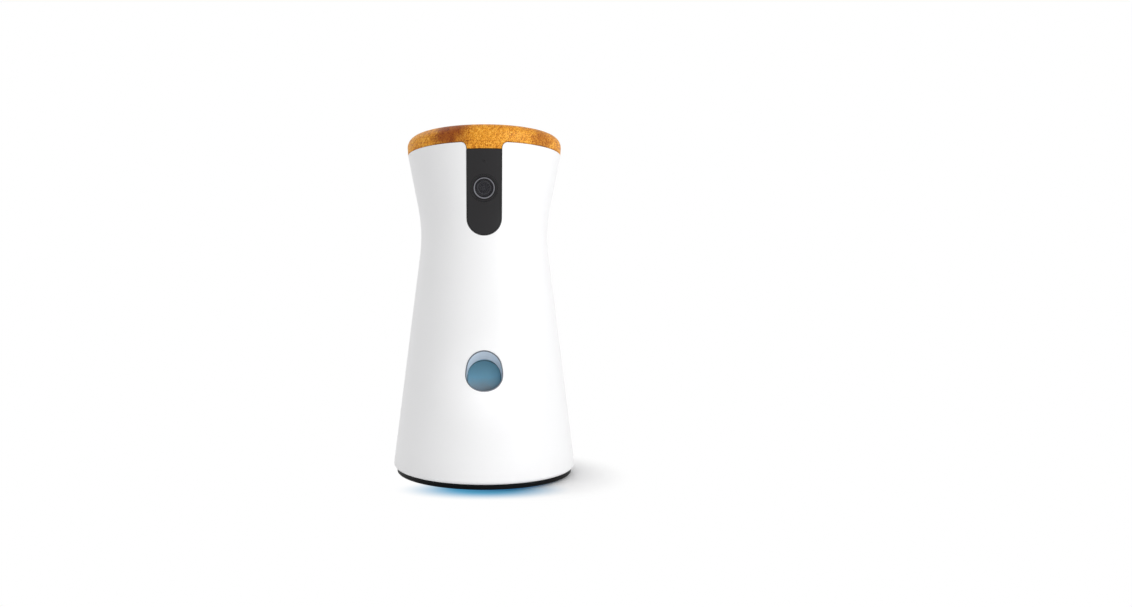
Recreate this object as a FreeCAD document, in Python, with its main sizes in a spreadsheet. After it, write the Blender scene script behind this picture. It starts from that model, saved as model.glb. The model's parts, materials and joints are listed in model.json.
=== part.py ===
"""Treat tossing pet camera, modelled piece by piece in millimetres.

The origin is on the table under the middle of the base, +Z is up and the camera looks along -Y.
A waisted shell stands on a ball race and turns on a fixed base. It holds a hopper under a lid, a
treat wheel, a chute, and a sprung paddle that tosses one treat out of the round-topped outlet.
"""
import FreeCAD, Part
import math
import os
import re

import Sketcher

Vector = FreeCAD.Vector
Rotation = FreeCAD.Rotation

# Driving dimensions in millimetres, angles in degrees, slopes as a ratio
SIZES = {
    # Shell
    "total_height": 223.8,
    "wall": 2.4,
    "waist_height": 161.6,
    "waist_radius": 41.35,
    "waist_round": 100,
    "lower_slope": 0.1245,
    "upper_slope": 0.197,
    "bottom_edge_round": 3,
    "bottom_edge_rise": 2.4,
    "bottom_edge_inset": 2,
    "bottom_rim_width": 1.7,
    "bottom_rim_height": 2.6,
    "ledge_width": 5.8,
    "ledge_thick": 3,
    # Fits
    "seat_gap": 0.3,
    "running_gap": 0.06,
    "press_gap": 0.04,
    "shell_gap": 0.4,
    # Notch, window and outlet
    "notch_width": 22.2,
    "notch_depth": 45.6,
    "notch_corner": 3.6,
    "window_gap": 0.35,
    "window_recess": 0.25,
    "window_thick": 2,
    "window_frame_thick": 1.5,
    "window_frame_margin": 3,
    "outlet_height": 70.4,
    "outlet_half_width": 11.65,
    "outlet_rise": 15.6,
    "outlet_top_round": 11.1,
    "outlet_angle": 33.5,
    "duct_wall": 1.6,
    "duct_gap": 0.15,
    "duct_rim": 0.6,
    "duct_drop": 0.1,
    # Lid
    "lid_height": 11.3,
    "lid_flare": 0.3,
    "lid_edge_round": 6.3,
    "lid_lower_round": 0.4,
    "lid_tab_drop": 3.9,
    "lid_tab_thick": 2.2,
    "liner_margin": 2.5,
    "plug_gap": 1.9,
    "plug_wall": 2,
    "plug_depth": 6.8,
    "seal_height": 3,
    "seal_lip": 1.1,
    "seal_place": 1.5,
    "seal_edge": 0.4,
    "lid_screw_spread": 12,
    # Base
    "foot_height": 1.6,
    "foot_recess": 0.4,
    "foot_inset": 10.5,
    "foot_width": 7.6,
    "base_step": 0.2,
    "base_rim_width": 1.9,
    "base_rim_rise": 0.4,
    "base_groove": 0.4,
    "plate_thick": 2.4,
    "housing_inset": 0.4,
    "housing_wall": 2,
    "housing_height": 10.4,
    "housing_roof": 2,
    "post_radius": 12,
    "post_bore": 8,
    "bay_width": 16,
    "bay_wall": 1.5,
    "bay_start": 28,
    "guide_inset": 3.3,
    "guide_width": 5,
    "guide_thick": 0.7,
    "lamp_inset": 6.3,
    "guide_peg": 1.4,
    "guide_count": 12,
    "led_board_gap": 0.6,
    "led_board_width": 6.4,
    "led_board_thick": 1,
    "chip_size": 2.2,
    "chip_height": 0.8,
    "board_thick": 1.2,
    "base_board_half": 19,
    "base_board_front": 18,
    "base_board_rear": 26,
    "base_board_drop": 2.3,
    "base_screw_side": 14,
    "base_screw_rear": 14,
    "base_screw_front": 8,
    "plate_boss_radius": 3,
    "board_stud_radius": 2.5,
    "socket_width": 9,
    "socket_height": 3.2,
    "socket_length": 7.3,
    "socket_lip": 2,
    "socket_skin": 0.35,
    "button_place": 12,
    "button_radius": 3,
    "button_flange": 4.2,
    "button_flange_thick": 1,
    "button_stem": 1.5,
    "button_travel": 0.6,
    "switch_size": 4.5,
    "switch_height": 1.5,
    # Bearing and pan drive
    "bearing_height": 6.1,
    "race_half_width": 3.5,
    "race_thick": 1.6,
    "ball_circle": 42,
    "ball_radius": 1.8,
    "groove_radius": 2,
    "ball_count": 16,
    "cage_half_width": 3,
    "cage_thick": 1.2,
    "gear_module": 1,
    "pressure_angle": 20,
    "gear_addendum": 0.7,
    "gear_dedendum": 1,
    "backlash": 0.3,
    "pan_teeth": 48,
    "pan_pinion_teeth": 12,
    "pan_gear_width": 4,
    "pinion_width": 3.4,
    "pan_motor_turn": 30,
    # Turntable, posts and deck
    "floor_thick": 2.5,
    "floor_gap": 0.4,
    "keeper_radius": 15.5,
    "keeper_thick": 1.5,
    "frame_post_radius": 2.6,
    "frame_post_inset": 3.3,
    "frame_post_length": 73.4,
    "deck_thick": 2.5,
    "boss_inset": 5.6,
    "boss_radius": 3.2,
    "boss_height": 13,
    "rib_width": 2.4,
    # Screws
    "screw_radius": 1.25,
    "screw_length": 8,
    "screw_head_radius": 2.3,
    "screw_head_height": 1.5,
    "small_screw_radius": 1,
    "small_screw_length": 5,
    "small_head_radius": 1.9,
    "small_head_height": 1.4,
    "plate_screw_circle": 35,
    "gear_screw_circle": 16.5,
    "keeper_screw_circle": 10,
    "board_screw_inset": 5,
    # Small gear motors
    "motor_width": 12,
    "motor_height": 10,
    "gearbox_length": 9,
    "motor_length": 15,
    "motor_shaft": 1.5,
    "shaft_grip": 4,
    # Hopper and treat wheel
    "dosing_space": 39.5,
    "hopper_offset": 6.5,
    "hopper_gap": 0.7,
    "hopper_wall": 1.6,
    "hopper_floor": 3,
    "flange_thick": 3,
    "flange_drop": 2,
    "flange_front_gap": 2.9,
    "hopper_screw_inset": 2.95,
    "exit_margin": 1.9,
    "exit_radius": 9,
    "chute_wall": 1.2,
    "chute_flange": 12,
    "chute_flange_thick": 1.5,
    "wheel_gap": 0.6,
    "wheel_height": 11.5,
    "wheel_hub": 6,
    "vane_thick": 2,
    "vane_count": 4,
    "wheel_shaft": 3,
    "bush_wall": 1.4,
    "bush_flange": 6.2,
    "bush_flange_thick": 1.5,
    "baffle_thick": 1.5,
    "baffle_half_width": 12,
    "dosing_teeth": 16,
    "dosing_pinion_teeth": 10,
    "dosing_gear_width": 4,
    "pedestal_height": 6.5,
    # Tossing paddle
    "chamber_half_width": 12.5,
    "chamber_gap": 0.9,
    "chamber_floor": 47,
    "chamber_wall": 1.6,
    "leg_size": 5,
    "pivot_setback": 3.9,
    "pivot_height": 51,
    "paddle_lean": 40,
    "paddle_length": 32.5,
    "paddle_half_width": 11.5,
    "paddle_thick": 2,
    "paddle_hub": 3.2,
    "toss_shaft": 1.5,
    "shaft_overhang": 7.5,
    "sector_teeth": 28,
    "sector_used": 6,
    "sector_hub": 4.5,
    "toss_teeth": 18,
    "toss_used": 6,
    "toss_hub": 3,
    "toss_gear_width": 4,
    "toss_gear_gap": 2.4,
    "spring_radius": 2.7,
    "spring_wire": 0.45,
    "spring_turns": 4,
    "spring_pitch": 1.4,
    # Electronics
    "main_board_margin": 5.5,
    "main_board_lift": 1,
    "speaker_height": 61,
    "speaker_face": 44,
    "speaker_radius": 18,
    "speaker_flange": 20,
    "speaker_flange_thick": 2,
    "speaker_depth": 8,
    "magnet_radius": 9,
    "magnet_depth": 6,
    "speaker_edge": 1,
    "sound_hole": 1.1,
    "sound_pitch": 4.6,
    "harness_radius": 1.5,
    "connector_height": 2,
    "flex_half_width": 4,
    "flex_thick": 0.5,
    "plug_height": 3,
    "chip_place": 21,
    "large_chip": 12,
    "small_chip": 8,
    "chip_thick": 1.2,
    # Camera
    "lens_drop": 27.65,
    "lens_window": 8.4,
    "bezel_outer": 8.2,
    "bezel_inner": 6.6,
    "bezel_depth": 4,
    "bezel_drop": 0.8,
    "bezel_chamfer": 0.5,
    "lens_ring_outer": 6.45,
    "lens_ring_inner": 5.85,
    "lens_ring_depth": 3,
    "lens_ring_drop": 0.15,
    "lens_glass_radius": 5.75,
    "lens_glass_rise": 0.9,
    "lens_glass_drop": 0.5,
    "lens_glass_thick": 0.8,
    "lens_barrel_radius": 6.4,
    "lens_barrel_gap": 0.2,
    "lens_barrel_step": 1.5,
    "camera_clearance": 2.6,
    "camera_board_half": 11,
    "bracket_wall": 1.5,
    "ir_board_half": 9,
    "ir_board_low": 13.5,
    "ir_board_high": 19.5,
    "ir_depth": 5.3,
    "ir_radius": 1.5,
    "ir_spacing": 5.5,
    "ir_length": 2.1,
    "microphone_radius": 1.6,
    "microphone_height": 1,
}

WORD = re.compile(r"[A-Za-z_]\w*")

doc = FreeCAD.newDocument("treat_camera")
sheet = doc.addObject("Spreadsheet::Sheet", "sizes")
for row, (alias, size) in enumerate(SIZES.items(), start=1):
    sheet.set(f"A{row}", alias)
    sheet.set(f"B{row}", str(size))
    sheet.setAlias(f"B{row}", alias)
doc.recompute()

nodes = []

# Heights and places that follow from the driving dimensions
PLATE_LOW = "(foot_height - foot_recess)"
PLATE_TOP = f"({PLATE_LOW} + plate_thick)"
RIM_TOP = f"({PLATE_TOP} + base_rim_rise)"
SHELL_LOW = f"({RIM_TOP} + shell_gap)"
HOUSING_TOP = f"({PLATE_TOP} + housing_height)"
ROOF_LOW = f"({HOUSING_TOP} - housing_roof)"
GEAR_TOP = f"({HOUSING_TOP} + pan_gear_width)"
BALL_HEIGHT = f"({HOUSING_TOP} + bearing_height / 2)"
FLOOR_LOW = f"({HOUSING_TOP} + bearing_height)"
FLOOR_TOP = f"({FLOOR_LOW} + floor_thick)"
KEEPER_LOW = f"({FLOOR_TOP} + seat_gap)"
KEEPER_TOP = f"({KEEPER_LOW} + keeper_thick)"
DECK_LOW = f"({FLOOR_TOP} + frame_post_length)"
DECK_TOP = f"({DECK_LOW} + deck_thick)"
BOARD_LOW = f"({DECK_TOP} + main_board_lift)"
BOARD_TOP = f"({BOARD_LOW} + board_thick)"
HOPPER_LOW = f"({DECK_TOP} + dosing_space)"
HOPPER_FLOOR = f"({HOPPER_LOW} + hopper_floor)"
LID_LOW = "(total_height - lid_height)"
SHELL_TOP = f"({LID_LOW} - shell_gap)"
FLANGE_TOP = f"({SHELL_TOP} - flange_drop)"
FLANGE_LOW = f"({FLANGE_TOP} - flange_thick)"
LEDGE_TOP = f"({FLANGE_LOW} - seat_gap)"
LEDGE_LOW = f"({LEDGE_TOP} - ledge_thick)"
LINER_LOW = f"({FLANGE_TOP} + seat_gap)"
NOTCH_CENTRE = f"({SHELL_TOP} - notch_depth)"
LENS_HEIGHT = f"({SHELL_TOP} - lens_drop)"
DOSING_PLACE = "(hopper_offset + gear_module * (dosing_teeth + dosing_pinion_teeth) / 2)"
DOSING_GEAR_TOP = f"({HOPPER_LOW} - bush_flange_thick - seat_gap)"
DOSING_GEAR_LOW = f"({DOSING_GEAR_TOP} - dosing_gear_width)"
TOSS_REACH = "(gear_module * (sector_teeth + toss_teeth) / 2 * sqrt(0.5))"
TOSS_HEIGHT = f"(pivot_height - {TOSS_REACH})"
TOSS_GEAR_LOW = "(chamber_half_width + chamber_wall + toss_gear_gap)"
TOSS_GEAR_HIGH = f"({TOSS_GEAR_LOW} + toss_gear_width)"
PAN_DISTANCE = "(gear_module * (pan_teeth + pan_pinion_teeth) / 2)"
PAN_X = f"({PAN_DISTANCE} * cos(pan_motor_turn))"
PAN_Y = f"({PAN_DISTANCE} * sin(pan_motor_turn))"
BASE_BOARD_TOP = f"({ROOF_LOW} - base_board_drop)"
BASE_BOARD_LOW = f"({BASE_BOARD_TOP} - board_thick)"


def bound(text):
    """The text as a sheet expression, each size by its alias."""
    return WORD.sub(lambda found: "sizes." + found[0] if found[0] in SIZES else found[0], text)


def number(text):
    """The value of an expression over the sizes."""
    result = sheet.evalExpression(bound(text))
    return float(getattr(result, "Value", result))


def bind(target, prop, text):
    """Tie a property to an expression over the sizes."""
    target.setExpression(prop, bound(text))


# The shell's skin: a lower and an upper cone, blended by an arc at the waist

def lower_radius(height, depth="0"):
    """Radius of the lower cone at a height, at a depth under the outer surface."""
    return (f"(waist_radius + lower_slope * (waist_height - ({height}))"
            f" - ({depth}) / cos(atan(lower_slope)))")


def upper_radius(height, depth="0"):
    """Radius of the upper cone at a height, at a depth under the outer surface."""
    return (f"(waist_radius + upper_slope * (({height}) - waist_height)"
            f" - ({depth}) / cos(atan(upper_slope)))")


WAIST_TANGENT = "(waist_round * tan((atan(lower_slope) + atan(upper_slope)) / 2))"


def waist_low(depth):
    """The point where the lower cone meets the waist arc."""
    radius = (f"waist_radius + {WAIST_TANGENT} * sin(atan(lower_slope))"
              f" - ({depth}) * cos(atan(lower_slope))")
    height = (f"waist_height - {WAIST_TANGENT} * cos(atan(lower_slope))"
              f" - ({depth}) * sin(atan(lower_slope))")
    return radius, height


def waist_high(depth):
    """The point where the upper cone meets the waist arc."""
    radius = (f"waist_radius + {WAIST_TANGENT} * sin(atan(upper_slope))"
              f" - ({depth}) * cos(atan(upper_slope))")
    height = (f"waist_height + {WAIST_TANGENT} * cos(atan(upper_slope))"
              f" + ({depth}) * sin(atan(upper_slope))")
    return radius, height


def skin_up(low, high, depth):
    """Outline points of the skin from a low height to a high one."""
    return [
        (lower_radius(low, depth), low),
        (*waist_low(depth), f"waist_round + ({depth})", -1),
        waist_high(depth),
        (upper_radius(high, depth), high),
    ]


def skin_down(low, high, depth):
    """The same points from the high height to the low one."""
    return [
        (upper_radius(high, depth), high),
        (*waist_high(depth), f"waist_round + ({depth})", 1),
        waist_low(depth),
        (lower_radius(low, depth), low),
    ]


# Radii that follow from the skin

EDGE_TOP = f"({SHELL_LOW} + bottom_edge_rise)"
FOOT_RADIUS = f"({lower_radius(EDGE_TOP)} - bottom_edge_inset)"
BASE_RADIUS = f"({FOOT_RADIUS} - base_step)"
FOOT_OUTER = f"({BASE_RADIUS} - foot_inset)"
FOOT_INNER = f"({FOOT_OUTER} - foot_width)"
HOUSING_RADIUS = f"({BASE_RADIUS} - base_rim_width - housing_inset)"
GUIDE_OUTER = f"({BASE_RADIUS} - guide_inset)"
LAMP_CIRCLE = f"({BASE_RADIUS} - lamp_inset)"
LED_BOARD_OUTER = f"({HOUSING_RADIUS} - housing_wall - led_board_gap)"
FLOOR_RADIUS = f"({lower_radius(FLOOR_TOP, 'wall')} - floor_gap)"
BOSS_CIRCLE = f"({lower_radius(FLOOR_TOP, 'wall')} - boss_inset)"
DECK_RADIUS = f"({lower_radius(DECK_TOP, 'wall')} - floor_gap)"
FRAME_POST_CIRCLE = f"({lower_radius(DECK_TOP, 'wall')} - frame_post_inset)"
MAIN_BOARD_RADIUS = f"({FRAME_POST_CIRCLE} - main_board_margin)"
FLANGE_RADIUS = f"({upper_radius(FLANGE_LOW, 'wall')} - floor_gap)"
LEDGE_INNER = f"({upper_radius(LEDGE_TOP, 'wall')} - ledge_width)"
HOPPER_SCREW_CIRCLE = f"({FLANGE_RADIUS} - hopper_screw_inset)"
WAIST_INNER = (f"(waist_radius - wall - waist_round + waist_round * cos(atan(lower_slope))"
               f" + {WAIST_TANGENT} * sin(atan(lower_slope)))")
HOPPER_RADIUS = f"({WAIST_INNER} - hopper_gap - hopper_offset)"
HOPPER_INNER = f"({HOPPER_RADIUS} - hopper_wall)"
PLUG_RADIUS = f"({HOPPER_INNER} - plug_gap)"
EXIT_PLACE = f"(hopper_offset - {HOPPER_INNER} + exit_radius + exit_margin)"
CHAMBER_REAR = f"({EXIT_PLACE} + exit_radius)"
CHAMBER_SIDE = "(chamber_half_width + chamber_wall)"
CHAMBER_FACE = (f"(-sqrt(({lower_radius(DECK_LOW, 'wall')} - chamber_gap) ^ 2"
                f" - {CHAMBER_SIDE} ^ 2))")
CHAMBER_FRONT = f"({CHAMBER_FACE} + chamber_wall)"
PIVOT_PLACE = f"({CHAMBER_FRONT} + pivot_setback)"
TOSS_PLACE = f"({PIVOT_PLACE} + {TOSS_REACH})"
LINER_RADIUS = f"({upper_radius(LINER_LOW, 'lid_tab_thick')} - liner_margin)"
FRAME_FRONT = "(wall + seat_gap)"
FRAME_BACK = f"({FRAME_FRONT} + window_frame_thick)"
CAMERA_ROOM = (f"({upper_radius(LENS_HEIGHT)} - camera_board_half * sin(atan(upper_slope))"
               f" - ({HOPPER_RADIUS} - hopper_offset) - camera_clearance)")
CAMERA_DEPTH = f"({CAMERA_ROOM} / cos(atan(upper_slope)) - board_thick)"
TAB_LOW = f"({SHELL_TOP} - lid_tab_drop)"
WINDOW_TOP = f"({TAB_LOW} - seat_gap)"


# Building blocks

def new_sketch(body, name, plane, offset="0"):
    """A sketch on one of the body's own origin planes, moved along its normal."""
    sketch = body.newObject("Sketcher::SketchObject", name)
    support = [f for f in body.Origin.OriginFeatures if f.Role == plane + "_Plane"][0]
    sketch.AttachmentSupport = (support, [""])
    sketch.MapMode = "FlatFace"
    bind(sketch, "AttachmentOffset.Base.z", offset)
    return sketch


def edge_of_outline(start, end, point):
    """The edge that leaves a point: a line, or the shorter arc of its radius and turn."""
    if len(point) == 2:
        return Part.LineSegment(start, end), (1, 2)
    radius = number(point[2])
    chord = end - start
    rise = max(radius ** 2 - chord.Length ** 2 / 4, 0) ** 0.5
    left = Vector(-chord.y, chord.x, 0).normalize()
    centre = (start + end) * 0.5 + left * (rise * point[3])
    first, last = (start, end) if point[3] > 0 else (end, start)
    circle = Part.Circle(centre, Vector(0, 0, 1), radius)
    begin, finish = circle.parameter(first), circle.parameter(last)
    arc = Part.ArcOfCircle(circle, begin, finish + (2 * math.pi if finish < begin else 0))
    return arc, (1, 2) if point[3] > 0 else (2, 1)


def draw_outline(sketch, points):
    """A closed outline, every corner tied to the sizes.

    A point is (x, y), or (x, y, radius, turn) where an arc leaves it: turn is 1 when the arc's
    centre lies left of the way to the next point, and -1 when it lies right.
    """
    places = [Vector(number(point[0]), number(point[1]), 0) for point in points]
    following = places[1:] + places[:1]
    ends = []
    for start, end, point in zip(places, following, points):
        edge, tips = edge_of_outline(start, end, point)
        sketch.addGeometry(edge)
        ends.append(tips)
    for index in range(len(points)):
        after = (index + 1) % len(points)
        sketch.addConstraint(
            Sketcher.Constraint("Coincident", index, ends[index][1], after, ends[after][0]))
    for index, (point, place) in enumerate(zip(points, places)):
        tip = ends[index][0]
        tie(sketch, Sketcher.Constraint("DistanceX", -1, 1, index, tip, place.x), point[0])
        tie(sketch, Sketcher.Constraint("DistanceY", -1, 1, index, tip, place.y), point[1])
        if len(point) > 2:
            tie(sketch, Sketcher.Constraint("Radius", index, number(point[2])), point[2])


def tie(sketch, constraint, text):
    """Add a constraint whose value follows an expression."""
    index = sketch.addConstraint(constraint)
    bind(sketch, f"Constraints[{index}]", text)


def draw_circle(sketch, radius):
    """A circle about the sketch's origin."""
    index = sketch.addGeometry(Part.Circle(Vector(), Vector(0, 0, 1), number(radius)))
    sketch.addConstraint(Sketcher.Constraint("Coincident", index, 3, -1, 1))
    tie(sketch, Sketcher.Constraint("Radius", index, number(radius)), radius)


def revolved(name, points):
    """A body turned about Z from an outline of (radius, height) points."""
    body = doc.addObject("PartDesign::Body", name)
    sketch = new_sketch(body, name + "_profile", "XZ")
    draw_outline(sketch, points)
    turn = body.newObject("PartDesign::Revolution", name + "_turn")
    turn.Profile = sketch
    turn.ReferenceAxis = (sketch, ["V_Axis"])
    turn.Angle = 360
    return body


def extruded(name, plane, points, low, high):
    """A body pushed out from an outline, from low to high along the plane's axis."""
    body = doc.addObject("PartDesign::Body", name)
    start = f"-({high})" if plane == "XZ" else low
    sketch = new_sketch(body, name + "_outline", plane, start)
    draw_outline(sketch, points)
    pad = body.newObject("PartDesign::Pad", name + "_pad")
    pad.Profile = sketch
    bind(pad, "Length", f"({high}) - ({low})")
    return body


def move(target, **places):
    """Tie a piece's position to expressions, such as y="hopper_offset"."""
    for axis, text in places.items():
        bind(target, "Placement.Base." + axis, text)
    return target


AXIS_TURNS = {
    "X": Rotation(Vector(0, 1, 0), 90),
    "Y": Rotation(Vector(1, 0, 0), -90),
    "Z": Rotation(),
}


def cylinder(name, radius, low, high, across=("0", "0"), axis="Z"):
    """A cylinder along an axis. across gives its other two coordinates, in X, Y, Z order."""
    made = doc.addObject("Part::Cylinder", name)
    bind(made, "Radius", radius)
    bind(made, "Height", f"({high}) - ({low})")
    made.Placement = FreeCAD.Placement(Vector(), AXIS_TURNS[axis])
    others = iter(across)
    for letter in "XYZ":
        bind(made, "Placement.Base." + letter.lower(), low if letter == axis else next(others))
    return made


def box(name, x_range, y_range, z_range):
    """A box between two values on each axis."""
    made = doc.addObject("Part::Box", name)
    sides = (("Length", "x", x_range), ("Width", "y", y_range), ("Height", "z", z_range))
    for side, axis, (low, high) in sides:
        bind(made, side, f"({high}) - ({low})")
        bind(made, "Placement.Base." + axis, low)
    return made


def both_ways(half):
    """The range from minus half to plus half."""
    return f"-({half})", f"({half})"


def ring(name, inner, outer, low, high):
    """A flat ring about Z."""
    return revolved(name, [(inner, low), (outer, low), (outer, high), (inner, high)])


def fused(name, pieces):
    """The union of pieces that touch or overlap."""
    made = doc.addObject("Part::MultiFuse", name)
    made.Shapes = pieces
    return made


def common(name, pieces):
    """What two pieces share."""
    made = doc.addObject("Part::MultiCommon", name)
    made.Shapes = pieces
    return made


def cut(name, base, tools):
    """The base without the tools."""
    made = doc.addObject("Part::Cut", name)
    made.Base = base
    made.Tool = tools[0] if len(tools) == 1 else fused(name + "_tools", tools)
    return made


def group(name, pieces):
    """Separate solids in one piece."""
    made = doc.addObject("Part::Compound", name)
    made.Links = pieces
    return made


def node(target, label):
    """Name a finished sub-part, which writes its own file."""
    target.Label = label
    nodes.append(target)
    return target


def polar(circle, angle, centre_y="0"):
    """The coordinates of a place on a circle, the angle in degrees from +X."""
    return f"({circle}) * cos({angle})", f"({centre_y}) + ({circle}) * sin({angle})"


def screw(name, place, seat, points_up, small=False):
    """A pan-head screw whose head rests on a seat height, its shank up or down from there."""
    kind = "small_" if small else ""
    shank, length = (kind + "screw_radius", kind + "screw_length")
    head = "small_head" if small else "screw_head"
    sign = 1 if points_up else -1
    ends = sorted((0, sign))
    shank_ends = [f"({seat}) + ({end}) * {length}" for end in ends]
    head_ends = [f"({seat}) - ({end}) * {head}_height" for end in reversed(ends)]
    body = cylinder(name + "_shank", shank, *shank_ends, across=place)
    cap = cylinder(name + "_head", head + "_radius", *head_ends, across=place)
    socket_floor = f"({seat}) - ({sign}) * {head}_height / 2"
    socket_mouth = f"({seat}) - ({sign}) * {head}_height * 1.5"
    low, high = (socket_mouth, socket_floor) if points_up else (socket_floor, socket_mouth)
    socket = cylinder(name + "_socket", f"{shank} * 0.8", low, high, across=place)
    return cut(name, fused(name + "_solid", [body, cap]), [socket])


def pilot(name, place, low, high, small=False):
    """The hole that a screw's shank goes into. Cutting solids run 1 mm past an open face."""
    radius = ("small_" if small else "") + "screw_radius + press_gap"
    return cylinder(name, radius, low, high, across=place)


def head_room(name, place, low, high, small=False):
    """The counterbore that a screw's head goes into."""
    radius = ("small_head" if small else "screw_head") + "_radius + seat_gap"
    return cylinder(name, radius, low, high, across=place)


# Spur gears with involute flanks

def flank_angle(teeth, radius):
    """Half a tooth's angle in degrees at a radius, thinned by half the backlash."""
    pitch = f"({teeth} * gear_module / 2)"
    roll = f"sqrt(max((({radius}) / ({pitch} * cos(pressure_angle))) ^ 2 - 1; 0))"
    return (f"(90 / {teeth} + (tan(pressure_angle) - {roll}) * 180 / pi - pressure_angle"
            f" + atan({roll}) / 1 deg - backlash / 4 / {pitch} * 180 / pi)")


def tooth_outline(teeth):
    """A tooth about local +X: root, base, pitch and tip on each flank."""
    pitch = f"({teeth} * gear_module / 2)"
    root = f"({pitch} - gear_module * gear_dedendum)"
    tip = f"({pitch} + gear_module * gear_addendum)"
    start = f"max({pitch} * cos(pressure_angle); {root})"
    radii = [start, pitch, f"(({pitch} + {tip}) / 2)", tip]
    flank = [(f"({root} - 0.4 * gear_module)", flank_angle(teeth, start))]
    flank += [(radius, flank_angle(teeth, radius)) for radius in radii]
    right = [(f"{radius} * cos({angle})", f"-{radius} * sin({angle})") for radius, angle in flank]
    left = [(x, y[1:]) for x, y in reversed(right)]
    return right + left


def gear(name, teeth, low, high, phase, used=None):
    """Teeth in a ring about Z, the first one centred at the phase angle."""
    body = doc.addObject("PartDesign::Body", name)
    sketch = new_sketch(body, name + "_tooth", "XY", low)
    draw_outline(sketch, tooth_outline(teeth))
    bind(sketch, "AttachmentOffset.Rotation.Angle", phase)
    pad = body.newObject("PartDesign::Pad", name + "_tooth_pad")
    pad.Profile = sketch
    bind(pad, "Length", f"({high}) - ({low})")
    disc = new_sketch(body, name + "_disc", "XY", low)
    draw_circle(disc, f"({teeth} * gear_module / 2 - gear_module * gear_dedendum)")
    disc_pad = body.newObject("PartDesign::Pad", name + "_disc_pad")
    disc_pad.Profile = disc
    bind(disc_pad, "Length", f"({high}) - ({low})")
    doc.recompute()
    pattern = body.newObject("PartDesign::PolarPattern", name + "_teeth")
    pattern.Originals = [pad]
    pattern.Axis = (disc, ["N_Axis"])
    bind(pattern, "Occurrences", used or teeth)
    bind(pattern, "Angle", f"360 / {teeth} * ({used} - 1)" if used else "360")
    body.Tip = pattern
    return body


# Base: everything that stands still on the table

PLATE_SCREW_ANGLES = (45, 135, 225, 315)
BOARD_SCREWS = [(f"{side} * base_screw_side", y)
                for y in ("base_screw_rear", "-base_screw_front") for side in (1, -1)]
THIRDS = (0, 120, 240)


def cable_gap(name):
    """The gap that a ring under the plate leaves for the cable, as a solid to cut."""
    return box(name, both_ways("bay_width / 2 + bay_wall"), ("bay_start", BASE_RADIUS),
               ("-1", "foot_height + 1"))


def foot_ring():
    """A rubber ring in the plate's recess, open at the back for the cable."""
    whole = ring("foot_whole", FOOT_INNER, FOOT_OUTER, "0", "foot_height")
    node(cut("foot", whole, [cable_gap("foot_gap")]), "foot_ring")


def bottom_plate():
    """The black plate under the base, whose rim is the dark band below the shell."""
    groove = f"({PLATE_LOW} + {RIM_TOP}) / 2"
    rim_inner = f"{BASE_RADIUS} - base_rim_width"
    recess = f"{PLATE_LOW} + foot_recess"
    profile = [
        ("0", PLATE_LOW),
        (f"{FOOT_INNER} - press_gap", PLATE_LOW),
        (f"{FOOT_INNER} - press_gap", recess),
        (f"{FOOT_OUTER} + press_gap", recess),
        (f"{FOOT_OUTER} + press_gap", PLATE_LOW),
        (f"{BASE_RADIUS} - base_groove", PLATE_LOW),
        (BASE_RADIUS, f"{PLATE_LOW} + base_groove"),
        (BASE_RADIUS, f"{groove} - base_groove / 2"),
        (f"{BASE_RADIUS} - base_groove / 2", groove),
        (BASE_RADIUS, f"{groove} + base_groove / 2"),
        (BASE_RADIUS, RIM_TOP),
        (rim_inner, RIM_TOP),
        (rim_inner, PLATE_TOP),
        ("0", PLATE_TOP),
    ]
    below, above = f"{PLATE_LOW} - 1", f"{RIM_TOP} + 1"
    holes = [
        box("bay_cut", both_ways("bay_width / 2"), ("bay_start", f"{BASE_RADIUS} + 1"), (below, above)),
        cylinder("button_hole", "button_radius + seat_gap", below, above,
                 across=("0", "-button_place")),
    ]
    for index in range(SIZES["guide_count"]):
        place = polar(LAMP_CIRCLE, f"360 / guide_count * {index + 0.5}")
        holes.append(cylinder(f"peg_hole_{index}", "guide_peg + seat_gap / 2", below, above, place))
    for index, angle in enumerate(PLATE_SCREW_ANGLES):
        place = polar("plate_screw_circle", angle)
        holes.append(pilot(f"plate_screw_hole_{index}", place, below, above, small=True))
        holes.append(head_room(f"plate_head_hole_{index}", place, below,
                               f"{PLATE_LOW} + small_head_height", small=True))
    node(cut("plate", revolved("plate_solid", profile), holes), "bottom_plate")


def light_guide():
    """The clear ring that glows onto the table, with a peg up to each lamp, open like the foot."""
    low = f"{PLATE_LOW} - guide_thick"
    whole = ring("guide_ring", f"{GUIDE_OUTER} - guide_width", GUIDE_OUTER, low, PLATE_LOW)
    pieces = [cut("guide_open", whole, [cable_gap("guide_gap")])]
    for index in range(SIZES["guide_count"]):
        place = polar(LAMP_CIRCLE, f"360 / guide_count * {index + 0.5}")
        pieces.append(cylinder(f"guide_peg_{index}", "guide_peg", low, PLATE_TOP, place))
    node(fused("guide", pieces), "light_guide")


LED_BOARD_LOW = f"({PLATE_TOP} + chip_height + seat_gap)"


def led_board():
    """The ring board over the pegs, and a lamp on its underside over each peg."""
    top = f"{LED_BOARD_LOW} + led_board_thick"
    whole = ring("led_whole", f"{LED_BOARD_OUTER} - led_board_width", LED_BOARD_OUTER, LED_BOARD_LOW, top)
    bay = box("led_bay", both_ways("bay_width / 2 + bay_wall + seat_gap"),
              ("0", BASE_RADIUS), (PLATE_TOP, f"{top} + 1"))
    node(cut("led_ring", whole, [bay]), "led_board")
    lamps = []
    half = "chip_size / 2"
    for index in range(SIZES["guide_count"]):
        x, y = polar(LAMP_CIRCLE, f"360 / guide_count * {index + 0.5}")
        lamps.append(box(f"lamp_{index}", (f"{x} - {half}", f"{x} + {half}"),
                         (f"{y} - {half}", f"{y} + {half}"),
                         (f"{LED_BOARD_LOW} - chip_height", LED_BOARD_LOW)))
    node(group("lamps", lamps), "led_chips")


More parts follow.
